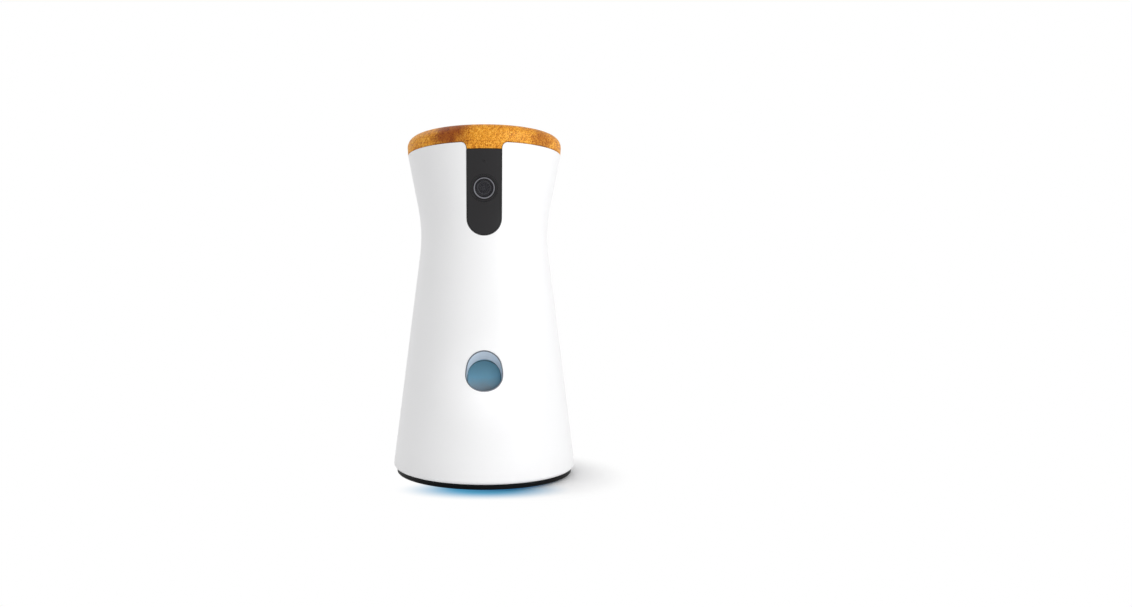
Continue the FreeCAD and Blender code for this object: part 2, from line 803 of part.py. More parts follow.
def base_housing():
    """The fixed drum inside the shell, its roof under the bearing and its hollow post."""
    post_top = KEEPER_LOW
    profile = [
        ("post_bore", ROOF_LOW),
        (f"{HOUSING_RADIUS} - housing_wall", ROOF_LOW),
        (f"{HOUSING_RADIUS} - housing_wall", PLATE_TOP),
        (HOUSING_RADIUS, PLATE_TOP),
        (HOUSING_RADIUS, HOUSING_TOP),
        ("post_radius", HOUSING_TOP),
        ("post_radius", post_top),
        ("post_bore", post_top),
    ]
    solids = [revolved("housing_drum", profile)]
    holes = []
    for index, angle in enumerate(PLATE_SCREW_ANGLES):
        place = polar("plate_screw_circle", angle)
        solids.append(cylinder(f"plate_boss_{index}", "plate_boss_radius", PLATE_TOP, ROOF_LOW, place))
        holes.append(pilot(f"plate_pilot_{index}", place, PLATE_TOP, ROOF_LOW, small=True))
    for index, place in enumerate(BOARD_SCREWS):
        solids.append(cylinder(f"board_stud_{index}", "board_stud_radius", BASE_BOARD_TOP,
                               ROOF_LOW, place))
        holes.append(pilot(f"board_pilot_{index}", place, BASE_BOARD_TOP,
                           f"{BASE_BOARD_TOP} + small_screw_length", small=True))
    for sign in (-1, 1):
        near, far = f"{sign} * bay_width / 2", f"{sign} * (bay_width / 2 + bay_wall)"
        sides = (far, near) if sign < 0 else (near, far)
        solids.append(box(f"bay_side_{sign + 1}", sides,
                          ("bay_start", f"{HOUSING_RADIUS} - housing_wall / 2"), (PLATE_TOP, ROOF_LOW)))
    for index, angle in enumerate(THIRDS):
        holes.append(pilot(f"gear_pilot_{index}", polar("gear_screw_circle", angle + 30),
                           f"{GEAR_TOP} - small_screw_length", HOUSING_TOP, small=True))
        holes.append(pilot(f"keeper_pilot_{index}", polar("keeper_screw_circle", angle + 90),
                           f"{KEEPER_TOP} - small_screw_length", f"{post_top} + 1", small=True))
    holes.append(box("cable_way", both_ways("bay_width / 2"),
                     (f"{HOUSING_RADIUS} - housing_wall - 1", f"{HOUSING_RADIUS} + 1"),
                     (f"{PLATE_TOP} - 1", f"{ROOF_LOW} - bay_wall")))
    node(cut("housing", fused("housing_solid", solids), holes), "base_housing")


def base_electronics():
    """The board under the roof, with the power socket, the button's switch and a connector."""
    board = box("base_board_whole", both_ways("base_board_half"),
                ("-base_board_front", "base_board_rear"), (BASE_BOARD_LOW, BASE_BOARD_TOP))
    holes = [pilot(f"base_board_hole_{index}", place, f"{BASE_BOARD_LOW} - 1",
                   f"{BASE_BOARD_TOP} + 1", small=True)
             for index, place in enumerate(BOARD_SCREWS)]
    node(cut("base_board_solid", board, holes), "base_board")
    node(box("base_plug", both_ways("harness_radius * 2"), both_ways("harness_radius * 2"),
             (BASE_BOARD_TOP, f"{BASE_BOARD_TOP} + connector_height")), "base_connector")

    low = f"({BASE_BOARD_LOW} - socket_height)"
    mouth = "(base_board_rear + socket_lip)"
    half = "socket_width / 2"
    shell = box("socket_shell", both_ways(half), (f"{mouth} - socket_length", mouth),
                (low, BASE_BOARD_LOW))
    hollow = box("socket_hollow", both_ways(f"{half} - socket_skin"),
                 (f"{mouth} - socket_length + 3 * socket_skin", f"{mouth} + 1"),
                 (f"{low} + socket_skin", f"{BASE_BOARD_LOW} - socket_skin"))
    middle = f"({low} + socket_height / 2)"
    tongue = box("socket_tongue", both_ways(f"{half} - 3 * socket_skin"),
                 (f"{mouth} - socket_length + socket_skin", f"{mouth} - 2 * socket_skin"),
                 (f"{middle} - socket_skin", f"{middle} + socket_skin"))
    opened = cut("socket_open", shell, [hollow])
    edges = doc.addObject("Part::Fillet", "socket_rounded")
    edges.Base = opened
    doc.recompute()
    edges.Edges = [(index, number("socket_height / 3"), number("socket_height / 3"))
                   for index, edge in enumerate(opened.Shape.Edges, start=1)
                   if is_outer_corner(edge)]
    node(fused("socket", [edges, tongue]), "power_socket")

    half = "switch_size / 2"
    y = "(-button_place)"
    node(box("switch", both_ways(half), (f"{y} - {half}", f"{y} + {half}"),
             (f"{BASE_BOARD_LOW} - switch_height", BASE_BOARD_LOW)), "tact_switch")


def is_outer_corner(edge):
    """Whether an edge of the socket is one of its four long outer corners."""
    middle = edge.CenterOfMass
    along_y = abs(edge.Vertexes[0].Point.y - edge.Vertexes[-1].Point.y) > number("socket_length / 2")
    return along_y and abs(abs(middle.x) - number("socket_width / 2")) < number("socket_skin / 4")


def setup_button():
    """A button through the plate that pushes the switch, with a flange that keeps it in."""
    flange_low = f"({PLATE_TOP} + seat_gap)"
    flange_top = f"({flange_low} + button_flange_thick)"
    stem_top = f"({BASE_BOARD_LOW} - switch_height - button_travel)"
    low = f"({PLATE_LOW} - seat_gap)"
    profile = [
        ("0", low),
        ("button_radius", low),
        ("button_radius", flange_low),
        ("button_flange", flange_low),
        ("button_flange", flange_top),
        ("button_stem", flange_top),
        ("button_stem", stem_top),
        ("0", stem_top),
    ]
    node(move(revolved("button", profile), y="-button_place"), "setup_button")


GROOVE_HALF = "sqrt(groove_radius ^ 2 - (bearing_height / 2 - race_thick) ^ 2)"


def bearing():
    """Two races with a groove each, and a cage of balls between them that turns at half speed."""
    low, high = HOUSING_TOP, f"({HOUSING_TOP} + race_thick)"
    lower = [
        ("ball_circle - race_half_width", low),
        ("ball_circle + race_half_width", low),
        ("ball_circle + race_half_width", high),
        (f"ball_circle + {GROOVE_HALF}", high, "groove_radius", -1),
        (f"ball_circle - {GROOVE_HALF}", high),
        ("ball_circle - race_half_width", high),
    ]
    node(revolved("race_below", lower), "lower_race")
    low, high = f"({FLOOR_LOW} - race_thick)", FLOOR_LOW
    upper = [
        ("ball_circle - race_half_width", low),
        (f"ball_circle - {GROOVE_HALF}", low, "groove_radius", -1),
        (f"ball_circle + {GROOVE_HALF}", low),
        ("ball_circle + race_half_width", low),
        ("ball_circle + race_half_width", high),
        ("ball_circle - race_half_width", high),
    ]
    node(revolved("race_above", upper), "upper_race")

    whole = ring("cage_whole", "ball_circle - cage_half_width", "ball_circle + cage_half_width",
                 f"{BALL_HEIGHT} - cage_thick / 2", f"{BALL_HEIGHT} + cage_thick / 2")
    balls, pockets = [], []
    for index in range(SIZES["ball_count"]):
        x, y = polar("ball_circle", f"360 / ball_count * {index}")
        ball = doc.addObject("Part::Sphere", f"ball_{index}")
        bind(ball, "Radius", "ball_radius")
        balls.append(move(ball, x=x, y=y, z=BALL_HEIGHT))
        pockets.append(cylinder(f"ball_pocket_{index}", "ball_radius + running_gap * 3",
                                f"{BALL_HEIGHT} - cage_thick", f"{BALL_HEIGHT} + cage_thick", (x, y)))
    node(cut("cage", whole, pockets), "bearing_cage")
    node(group("balls", balls), "bearing_balls")


def pan_drive():
    """The fixed gear that the pan motor's pinion walks round."""
    teeth = gear("pan_toothed", "pan_teeth", HOUSING_TOP, GEAR_TOP, "pan_motor_turn + 180 / pan_teeth")
    below, above = f"{HOUSING_TOP} - 1", f"{GEAR_TOP} + 1"
    holes = [cylinder("pan_bore", "post_radius + press_gap", below, above)]
    holes += [pilot(f"gear_hole_{index}", polar("gear_screw_circle", angle + 30), below, above,
                    small=True)
              for index, angle in enumerate(THIRDS)]
    node(cut("pan_wheel", teeth, holes), "pan_gear")

    low = f"({GEAR_TOP} - pinion_width)"
    teeth = gear("pinion_toothed", "pan_pinion_teeth", low, GEAR_TOP, "180")
    shaft = cylinder("pinion_shaft", "motor_shaft", low, f"{FLOOR_TOP} + shaft_grip")
    pinion = fused("pinion", [teeth, shaft])
    pinion.Placement = FreeCAD.Placement(Vector(), Rotation(Vector(0, 0, 1), 1))
    bind(pinion, "Placement.Rotation.Angle", "pan_motor_turn")
    node(move(pinion, x=PAN_X, y=PAN_Y), "pan_pinion")


def keeper_ring():
    """The ring on the post that stops the turning part from lifting off."""
    whole = ring("keeper_whole", "post_bore", "keeper_radius", KEEPER_LOW, KEEPER_TOP)
    holes = [pilot(f"keeper_hole_{index}", polar("keeper_screw_circle", angle + 90),
                   f"{KEEPER_LOW} - 1", f"{KEEPER_TOP} + 1", small=True)
             for index, angle in enumerate(THIRDS)]
    node(cut("keeper", whole, holes), "keeper_ring")


def base_screws():
    """The small screws of the base: plate, board, gear and keeper."""
    screws = [screw(f"plate_screw_{index}", polar("plate_screw_circle", angle),
                    f"{PLATE_LOW} + small_head_height", True, small=True)
              for index, angle in enumerate(PLATE_SCREW_ANGLES)]
    screws += [screw(f"base_board_screw_{index}", place, BASE_BOARD_LOW, True, small=True)
               for index, place in enumerate(BOARD_SCREWS)]
    for index, angle in enumerate(THIRDS):
        screws.append(screw(f"gear_screw_{index}", polar("gear_screw_circle", angle + 30), GEAR_TOP,
                            False, small=True))
        screws.append(screw(f"keeper_screw_{index}", polar("keeper_screw_circle", angle + 90),
                            KEEPER_TOP, False, small=True))
    node(group("small_screws", screws), "base_screws")


# Shell: the white tower, with its notch, outlet, ledge and bosses

BOSS_ANGLES = (90, 210, 330)
POST_ANGLES = (45, 135, 225, 315)


def core(name, depth, low, high):
    """Everything inside the skin at a depth."""
    return revolved(name, [("0", low)] + skin_up(low, high, depth) + [("0", high)])


def skin_band(name, outer_depth, inner_depth):
    """A layer of the skin between two depths, over the window's height."""
    low = f"{NOTCH_CENTRE} - notch_width"
    return revolved(name, skin_up(low, LID_LOW, outer_depth) + skin_down(low, LID_LOW, inner_depth))


def notch_outline():
    """The slot in the shell's front: round below, open at the rim, with rounded rim corners."""
    half, corner = "notch_width / 2", "notch_corner"
    wide = f"({half} + {corner})"
    return [
        (f"-{half}", NOTCH_CENTRE, half, 1),
        ("0", f"{NOTCH_CENTRE} - {half}", half, 1),
        (half, NOTCH_CENTRE),
        (half, f"{SHELL_TOP} - {corner}", corner, -1),
        (wide, SHELL_TOP),
        (wide, f"{SHELL_TOP} + 1"),
        (f"-{wide}", f"{SHELL_TOP} + 1"),
        (f"-{wide}", SHELL_TOP, corner, -1),
        (f"-{half}", f"{SHELL_TOP} - {corner}"),
    ]


def window_outline(margin, top):
    """The notch's outline grown by a margin, closed at a top height."""
    half = f"(notch_width / 2 + ({margin}))"
    return [
        (f"-{half}", NOTCH_CENTRE, half, 1),
        ("0", f"{NOTCH_CENTRE} - {half}", half, 1),
        (half, NOTCH_CENTRE),
        (half, top),
        (f"-{half}", top),
    ]


def egg_outline(centre, grow):
    """The outlet's outline: a half circle below, and a taller arch of three arcs above."""
    half, top = "outlet_half_width", "outlet_top_round"
    side = f"(({half} ^ 2 + (outlet_rise - {top}) ^ 2 - {top} ^ 2) / (2 * ({half} - {top})))"
    share = f"(({side} + ({grow})) / ({side} - {top}))"
    reach = f"({half} + ({grow}))"
    x = f"({share} * ({side} - {half}) - ({side} - {half}))"
    z = f"({centre} + {share} * (outlet_rise - {top}))"
    return [
        (reach, centre, f"{side} + ({grow})", 1),
        (x, z, f"{top} + ({grow})", 1),
        (f"-{x}", z, f"{side} + ({grow})", 1),
        (f"-{reach}", centre, reach, 1),
        ("0", f"{centre} - {reach}", reach, 1),
    ]


TUNNEL_SHRINK = "-(duct_gap + duct_rim)"


def outlet_tunnel(name, grow):
    """The outlet's slanting hole as a solid, grown all round, falling inwards."""
    mouth = lower_radius("outlet_height")
    outside = f"({mouth} + wall * 2)"
    inside = f"(-{CHAMBER_FRONT} - chamber_wall)"
    body = doc.addObject("PartDesign::Body", name)
    rings = []
    for index, reach in enumerate((outside, inside)):
        sketch = new_sketch(body, f"{name}_egg_{index}", "XZ", reach)
        centre = f"(outlet_height + ({reach} - {mouth}) * tan(outlet_angle))"
        draw_outline(sketch, egg_outline(centre, grow))
        rings.append(sketch)
    loft = body.newObject("PartDesign::AdditiveLoft", name + "_loft")
    loft.Profile = rings[0]
    loft.Sections = rings[1:]
    loft.Ruled = True
    return body


def shell_boss(index, angle):
    """A screw boss inside the shell over the turntable, with a rib to the wall."""
    top = f"{FLOOR_TOP} + boss_height"
    post = cylinder(f"shell_post_{index}", "boss_radius", FLOOR_TOP, top, (BOSS_CIRCLE, "0"))
    reach = f"{lower_radius(top, 'wall * 0.3')}"
    rib = box(f"shell_rib_{index}", (BOSS_CIRCLE, reach), both_ways("rib_width / 2"),
              (FLOOR_TOP, top))
    boss = fused(f"shell_boss_{index}", [post, rib])
    boss.Placement = FreeCAD.Placement(Vector(), Rotation(Vector(0, 0, 1), angle))
    return boss


def sound_holes():
    """A honeycomb of holes through the shell behind the speaker."""
    holes = []
    for row in range(-2, 3):
        count = 5 - abs(row)
        for step in range(count):
            x = f"sound_pitch * ({step} - {(count - 1) / 2})"
            z = f"speaker_height + sound_pitch * sqrt(0.75) * {row}"
            holes.append(cylinder(f"sound_hole_{row + 2}_{step}", "sound_hole",
                                  "speaker_face + seat_gap", f"{BASE_RADIUS} + 1", (x, z), "Y"))
    return holes


def outer_shell():
    """The waisted shell with everything that is moulded in one piece with it."""
    inner_foot = f"({FOOT_RADIUS} - bottom_rim_width)"
    rim = f"({SHELL_LOW} + bottom_rim_height)"
    step = f"({rim} + wall)"
    outer = skin_up(EDGE_TOP, SHELL_TOP, "0")
    inner = skin_down(step, SHELL_TOP, "wall")
    profile = [(inner_foot, SHELL_LOW), (FOOT_RADIUS, SHELL_LOW, "bottom_edge_round", 1)]
    skin = revolved("shell_skin", profile + outer + inner + [(inner_foot, rim)])

    ledge_outer = upper_radius(LEDGE_LOW, "wall / 2")
    ledge = ring("ledge_whole", LEDGE_INNER, ledge_outer, LEDGE_LOW, LEDGE_TOP)
    window_side = "notch_width / 2 + window_frame_margin + shell_gap * 2"
    ledge_gap = box("ledge_gap", both_ways(window_side), (f"-{BASE_RADIUS}", "0"),
                    (f"{LEDGE_LOW} - 1", f"{LEDGE_TOP} + 1"))
    tube = cylinder("speaker_tube", "speaker_flange", "speaker_face + seat_gap",
                    BASE_RADIUS, ("0", "speaker_height"), "Y")
    bore = cylinder("speaker_bore", "speaker_radius", "speaker_face", f"{BASE_RADIUS} + 1",
                    ("0", "speaker_height"), "Y")
    inside = core("shell_core", "wall / 2", f"{SHELL_LOW} + 2 * wall", LEDGE_LOW)
    seat = common("speaker_seat", [cut("speaker_ring", tube, [bore]), inside])
    solids = [skin, cut("ledge", ledge, [ledge_gap]), seat]
    solids += [shell_boss(index, angle) for index, angle in enumerate(BOSS_ANGLES)]

    holes = [extruded("notch", "XZ", notch_outline(), f"-{BASE_RADIUS}", f"-{LEDGE_INNER} / 2"),
             outlet_tunnel("outlet_hole", "0")]
    holes += sound_holes()
    for index, angle in enumerate(BOSS_ANGLES):
        seat_height = f"({FLOOR_LOW} + screw_head_height)"
        holes.append(pilot(f"shell_pilot_{index}", polar(BOSS_CIRCLE, angle), FLOOR_TOP,
                           f"{seat_height} + screw_length + 1"))
    for index, angle in enumerate(THIRDS):
        holes.append(pilot(f"ledge_pilot_{index}", polar(HOPPER_SCREW_CIRCLE, angle + 90),
                           f"{LEDGE_LOW} - 1", f"{LEDGE_TOP} + 1"))
    node(cut("shell", fused("shell_solid", solids), holes), "outer_shell")


# Turntable, posts and deck: the frame that turns with the shell

def motor_cradle(name, x_range):
    """A saddle on the turntable that holds the toss motor, clear of the keeper ring behind it."""
    half = "(motor_width / 2 + press_gap)"
    front = f"{TOSS_PLACE} - {half} - chamber_wall"
    top = f"{TOSS_HEIGHT} + motor_height / 4"
    foot = box(name + "_foot", x_range, (front, f"{TOSS_PLACE} + {half}"), (FLOOR_TOP, top))
    fork = box(name + "_fork", x_range, (front, f"{TOSS_PLACE} + {half} + chamber_wall"),
               (f"{KEEPER_TOP} + small_head_height + 1", top))
    low = f"{TOSS_HEIGHT} - motor_height / 2"
    room = box(name + "_room", (f"{x_range[0]} - 1", f"{x_range[1]} + 1"),
               (f"{TOSS_PLACE} - {half}", f"{TOSS_PLACE} + {half}"), (low, f"{low} + motor_height"))
    return cut(name, fused(name + "_solid", [foot, fork]), [room])


def turntable():
    """The round floor that the turning part stands on, over the upper race."""
    solids = [cylinder("floor_disc", FLOOR_RADIUS, FLOOR_LOW, FLOOR_TOP)]
    start, end = f"({CHAMBER_SIDE} - gearbox_length - motor_length)", CHAMBER_SIDE
    for name, middle in (("left", f"({start} + motor_length / 3)"), ("right", f"({end} - leg_size)")):
        reach = (f"{middle} - leg_size / 2", f"{middle} + leg_size / 2")
        solids.append(motor_cradle("cradle_" + name, reach))
    below, above = f"{FLOOR_LOW} - 1", f"{FLOOR_TOP} + 1"
    seat_height = f"{FLOOR_LOW} + screw_head_height"
    holes = [cylinder("post_hole", "post_radius + floor_gap", below, above),
             cylinder("pinion_hole", "motor_shaft + seat_gap", below, above, (PAN_X, PAN_Y))]
    places = [polar(BOSS_CIRCLE, angle) for angle in BOSS_ANGLES]
    places += [polar(FRAME_POST_CIRCLE, angle) for angle in POST_ANGLES]
    for index, place in enumerate(places):
        holes.append(pilot(f"floor_hole_{index}", place, below, above))
        holes.append(head_room(f"floor_head_{index}", place, below, seat_height))
    node(cut("floor", fused("floor_solid", solids), holes), "turntable")


def frame_posts():
    """Four posts between the turntable and the deck, tapped at both ends."""
    posts = []
    for index, angle in enumerate(POST_ANGLES):
        place = polar(FRAME_POST_CIRCLE, angle)
        whole = cylinder(f"post_whole_{index}", "frame_post_radius", FLOOR_TOP, DECK_LOW, place)
        taps = [pilot(f"post_tap_low_{index}", place, FLOOR_TOP, f"{FLOOR_TOP} + screw_length"),
                pilot(f"post_tap_high_{index}", place, f"{DECK_LOW} - screw_length", DECK_LOW)]
        posts.append(cut(f"post_{index}", whole, taps))
    node(group("posts", posts), "frame_posts")


def board_spots():
    """The three screws of the main board."""
    circle = f"({MAIN_BOARD_RADIUS} - board_screw_inset)"
    return [polar(circle, angle) for angle in THIRDS]


MOTOR_SIDE = "(motor_width / 2 + press_gap)"
MOTOR_DEEP = "(motor_height / 2 + press_gap)"
PEDESTAL_SIDE = f"({MOTOR_SIDE} + bay_wall)"
PEDESTAL_DEEP = f"({MOTOR_DEEP} + bay_wall)"


def mid_deck():
    """The deck over the tossing chamber, with studs for the board and a seat for the motor."""
    solids = [cylinder("deck_disc", DECK_RADIUS, DECK_LOW, DECK_TOP)]
    for index, place in enumerate(board_spots()):
        solids.append(cylinder(f"deck_stud_{index}", "screw_head_radius", DECK_TOP, BOARD_LOW, place))
    seat_top = f"{DECK_TOP} + pedestal_height"
    pedestal = box("pedestal", both_ways(PEDESTAL_SIDE),
                   (f"{DOSING_PLACE} - {PEDESTAL_DEEP}", f"{DOSING_PLACE} + {PEDESTAL_DEEP}"),
                   (DECK_TOP, f"{seat_top} + motor_length / 3"))
    room = box("pedestal_room", both_ways(MOTOR_SIDE),
               (f"{DOSING_PLACE} - {MOTOR_DEEP}", f"{DOSING_PLACE} + {MOTOR_DEEP}"),
               (seat_top, f"{seat_top} + motor_length"))
    solids.append(cut("pedestal_open", pedestal, [room]))
    below, above = f"{DECK_LOW} - 1", f"{BOARD_LOW} + 1"
    holes = [cylinder("deck_exit", "exit_radius", below, above, ("0", EXIT_PLACE)),
             cylinder("deck_cable", "harness_radius + seat_gap", below, above)]
    for index, place in enumerate(board_spots()):
        holes.append(pilot(f"stud_pilot_{index}", place, below, above))
    for index, angle in enumerate(POST_ANGLES):
        holes.append(pilot(f"deck_hole_{index}", polar(FRAME_POST_CIRCLE, angle), below, above))
    node(cut("deck", fused("deck_solid", solids), holes), "mid_deck")


def turret_screws():
    """The long screws of the turning part, all of one kind."""
    seat = f"({FLOOR_LOW} + screw_head_height)"
    screws = []
    for index, angle in enumerate(BOSS_ANGLES):
        screws.append(screw(f"shell_screw_{index}", polar(BOSS_CIRCLE, angle), seat, True))
    for index, angle in enumerate(POST_ANGLES):
        place = polar(FRAME_POST_CIRCLE, angle)
        screws.append(screw(f"post_screw_low_{index}", place, seat, True))
        screws.append(screw(f"post_screw_high_{index}", place, DECK_TOP, False))
    for index, place in enumerate(board_spots()):
        screws.append(screw(f"board_screw_{index}", place, BOARD_TOP, False))
    for index, angle in enumerate(THIRDS):
        screws.append(screw(f"hopper_screw_{index}", polar(HOPPER_SCREW_CIRCLE, angle + 90),
                            f"{FLANGE_TOP} - screw_head_height", False))
    node(group("long_screws", screws), "turret_screws")


def gear_motor(name, low, centre, axis="Z", upside_down=False):
    """A small flat-sided motor with its gearbox, the output bored for the shaft it drives.

    low is where it starts along its axis. The gearbox is at the far end, or at the near end
    where the motor stands on it.
    """
    middle = (f"{low} + gearbox_length" if upside_down else f"{low} + motor_length")
    high = f"{low} + gearbox_length + motor_length"
    can_ends, box_ends = ((middle, high), (low, middle)) if upside_down else (
        (low, middle), (middle, high))
    first, second = centre
    side, deep = "motor_width / 2", "motor_height / 2"
    wide = (f"{first} - {side}", f"{first} + {side}")
    thin = (f"{second} - {deep}", f"{second} + {deep}")
    across = ((wide, thin, box_ends), (wide, thin, can_ends))
    if axis == "X":
        across = ((box_ends, wide, thin), (can_ends, wide, thin))
    can = cylinder(name + "_can_round", side, *can_ends, across=centre, axis=axis)
    flats = box(name + "_can_flats", *across[1])
    gearbox = box(name + "_gearbox", *across[0])
    solid = fused(name + "_solid", [common(name + "_can", [can, flats]), gearbox])
    bore = "motor_shaft + running_gap"
    if upside_down:
        return cut(name, solid, [cylinder(name + "_bore", bore, f"{low} - 1",
                                          f"{low} + shaft_grip + seat_gap", centre, axis)])
    return cut(name, solid, [cylinder(name + "_bore", bore, f"{high} - shaft_grip - seat_gap",
                                      f"{high} + 1", centre, axis)])


def motors():
    """The three motors: pan, toss and dosing."""
    node(gear_motor("pan_drive", FLOOR_TOP, (PAN_X, PAN_Y), upside_down=True), "pan_motor")
    node(gear_motor("toss_drive", f"({CHAMBER_SIDE} - gearbox_length - motor_length)",
                    (TOSS_PLACE, TOSS_HEIGHT), axis="X"), "toss_motor")
    node(gear_motor("dosing_drive", f"({DECK_TOP} + pedestal_height)", ("0", DOSING_PLACE)),
         "dosing_motor")


# Treat path: hopper, wheel, chute, chamber, paddle and outlet

def hopper():
    """The bucket under the lid, hung by its flange from the shell's ledge."""
    profile = [
        ("wheel_shaft + running_gap + bush_wall + press_gap", HOPPER_LOW),
        (HOPPER_RADIUS, HOPPER_LOW),
        (HOPPER_RADIUS, FLANGE_TOP),
        (HOPPER_INNER, FLANGE_TOP),
        (HOPPER_INNER, HOPPER_FLOOR),
        ("wheel_shaft + running_gap + bush_wall + press_gap", HOPPER_FLOOR),
    ]
    bucket = move(revolved("bucket", profile), y="hopper_offset")
    flange = cylinder("flange_disc", FLANGE_RADIUS, FLANGE_LOW, FLANGE_TOP)
    mouth = cylinder("flange_mouth", HOPPER_INNER, f"{FLANGE_LOW} - 1", f"{FLANGE_TOP} + 1",
                     ("0", "hopper_offset"))
    front = f"-({upper_radius(FLANGE_LOW, FRAME_BACK)} - flange_front_gap)"
    window_side = "notch_width / 2 + window_frame_margin + shell_gap * 3"
    gap = box("flange_gap", both_ways(window_side), (f"-{BASE_RADIUS}", front),
              (f"{FLANGE_LOW} - 1", f"{FLANGE_TOP} + 1"))
    baffle_low = f"({HOPPER_FLOOR} + wheel_gap + wheel_height + wheel_gap)"
    plate = box("baffle_plate", both_ways("baffle_half_width"),
                (f"hopper_offset - {HOPPER_RADIUS}", f"{EXIT_PLACE} + exit_radius"),
                (baffle_low, f"{baffle_low} + baffle_thick"))
    round_side = cylinder("baffle_round", f"{HOPPER_RADIUS} - hopper_wall / 2", baffle_low,
                          f"{baffle_low} + baffle_thick", ("0", "hopper_offset"))
    baffle = common("baffle", [plate, round_side])
    holes = [cylinder("hopper_exit", "exit_radius", f"{HOPPER_LOW} - 1", f"{HOPPER_FLOOR} + 1",
                      ("0", EXIT_PLACE))]
    for index, angle in enumerate(THIRDS):
        place = polar(HOPPER_SCREW_CIRCLE, angle + 90)
        holes.append(pilot(f"flange_hole_{index}", place, f"{FLANGE_LOW} - 1", f"{FLANGE_TOP} + 1"))
        holes.append(head_room(f"flange_head_{index}", place, f"{FLANGE_TOP} - screw_head_height",
                               f"{FLANGE_TOP} + 1"))
    solids = [bucket, cut("flange", flange, [mouth, gap]), baffle]
    node(cut("hopper_cut", fused("hopper_solid", solids), holes), "hopper")


def treat_wheel():
    """The wheel that carries treats to the exit, on a shaft through the hopper's floor."""
    low = f"({HOPPER_FLOOR} + wheel_gap)"
    top = f"({low} + wheel_height)"
    shaft_low = f"({DOSING_GEAR_LOW} - seat_gap)"
    profile = [
        ("0", shaft_low),
        ("wheel_shaft", shaft_low),
        ("wheel_shaft", low),
        ("wheel_hub", low),
        ("wheel_hub", f"{top} - 1"),
        ("wheel_hub - 1", top),
        ("0", top),
    ]
    solids = [move(revolved("wheel_core", profile), y="hopper_offset")]
    reach = f"({HOPPER_INNER} - wheel_gap)"
    for index in range(SIZES["vane_count"]):
        vane = box(f"vane_{index}", ("0", reach), both_ways("vane_thick / 2"), (low, top))
        vane.Placement = FreeCAD.Placement(Vector(), Rotation(Vector(0, 0, 1), 1))
        bind(vane, "Placement.Rotation.Angle", f"360 / vane_count * {index + 0.5}")
        bind(vane, "Placement.Base.x",
             f"vane_thick / 2 * sin(360 / vane_count * {index + 0.5})")
        bind(vane, "Placement.Base.y",
             f"hopper_offset - vane_thick / 2 * cos(360 / vane_count * {index + 0.5})")
        bind(vane, "Placement.Base.z", low)
        solids.append(vane)
    node(fused("wheel", solids), "treat_wheel")

    bush_outer = "(wheel_shaft + running_gap + bush_wall)"
    flange_low = f"({HOPPER_LOW} - bush_flange_thick)"
    node(move(revolved("bush", [
        ("wheel_shaft + running_gap", flange_low),
        ("bush_flange", flange_low),
        ("bush_flange", HOPPER_LOW),
        (bush_outer, HOPPER_LOW),
        (bush_outer, HOPPER_FLOOR),
        ("wheel_shaft + running_gap", HOPPER_FLOOR),
    ]), y="hopper_offset"), "wheel_bush")

    teeth = gear("wheel_toothed", "dosing_teeth", DOSING_GEAR_LOW, DOSING_GEAR_TOP,
                 "90 + 180 / dosing_teeth")
    bore = cylinder("wheel_gear_bore", "wheel_shaft + press_gap", f"{DOSING_GEAR_LOW} - 1",
                    f"{DOSING_GEAR_TOP} + 1")
    node(move(cut("wheel_geared", teeth, [bore]), y="hopper_offset"), "wheel_gear")
    teeth = gear("dose_toothed", "dosing_pinion_teeth", DOSING_GEAR_LOW, DOSING_GEAR_TOP, "-90")
    top = f"({DECK_TOP} + pedestal_height + motor_length + gearbox_length)"
    shaft = cylinder("dose_shaft", "motor_shaft", f"{top} - shaft_grip", DOSING_GEAR_TOP)
    node(move(fused("dose", [teeth, shaft]), y=DOSING_PLACE), "dose_pinion")


def treat_chute():
    """The tube from the hopper's exit down to the deck, with a flange at its foot."""
    outer = "(exit_radius + chute_wall)"
    foot = f"({DECK_TOP} + chute_flange_thick)"
    node(move(revolved("chute", [
        ("exit_radius", DECK_TOP),
        ("chute_flange", DECK_TOP),
        ("chute_flange", foot),
        (outer, foot),
        (outer, HOPPER_LOW),
        ("exit_radius", HOPPER_LOW),
    ]), y=EXIT_PLACE), "treat_chute")


def toss_housing():
    """The chamber behind the outlet, on two front legs and under the deck."""
    floor_low = "(chamber_floor - chamber_wall)"
    rear = f"({CHAMBER_REAR} + chamber_wall)"
    solids = [box("chamber_block", both_ways(CHAMBER_SIDE), (CHAMBER_FACE, rear),
                  (floor_low, DECK_LOW))]
    for sign in (-1, 1):
        x = f"({sign} * ({CHAMBER_SIDE} - leg_size / 2))"
        solids.append(box(f"leg_{sign + 1}", (f"{x} - leg_size / 2", f"{x} + leg_size / 2"),
                          (CHAMBER_FACE, f"{CHAMBER_FACE} + leg_size"),
                          (FLOOR_TOP, f"{floor_low} + 1")))
    room = box("chamber_room", both_ways("chamber_half_width"), (CHAMBER_FRONT, CHAMBER_REAR),
               ("chamber_floor", f"{DECK_LOW} + 1"))
    shaft = cylinder("chamber_shaft", "toss_shaft + running_gap", f"-{CHAMBER_SIDE} - 1",
                     f"{CHAMBER_SIDE} + 1", (PIVOT_PLACE, "pivot_height"), "X")
    mouth = outlet_tunnel("chamber_mouth", TUNNEL_SHRINK)
    node(cut("chamber", fused("chamber_solid", solids), [room, shaft, mouth]), "toss_housing")


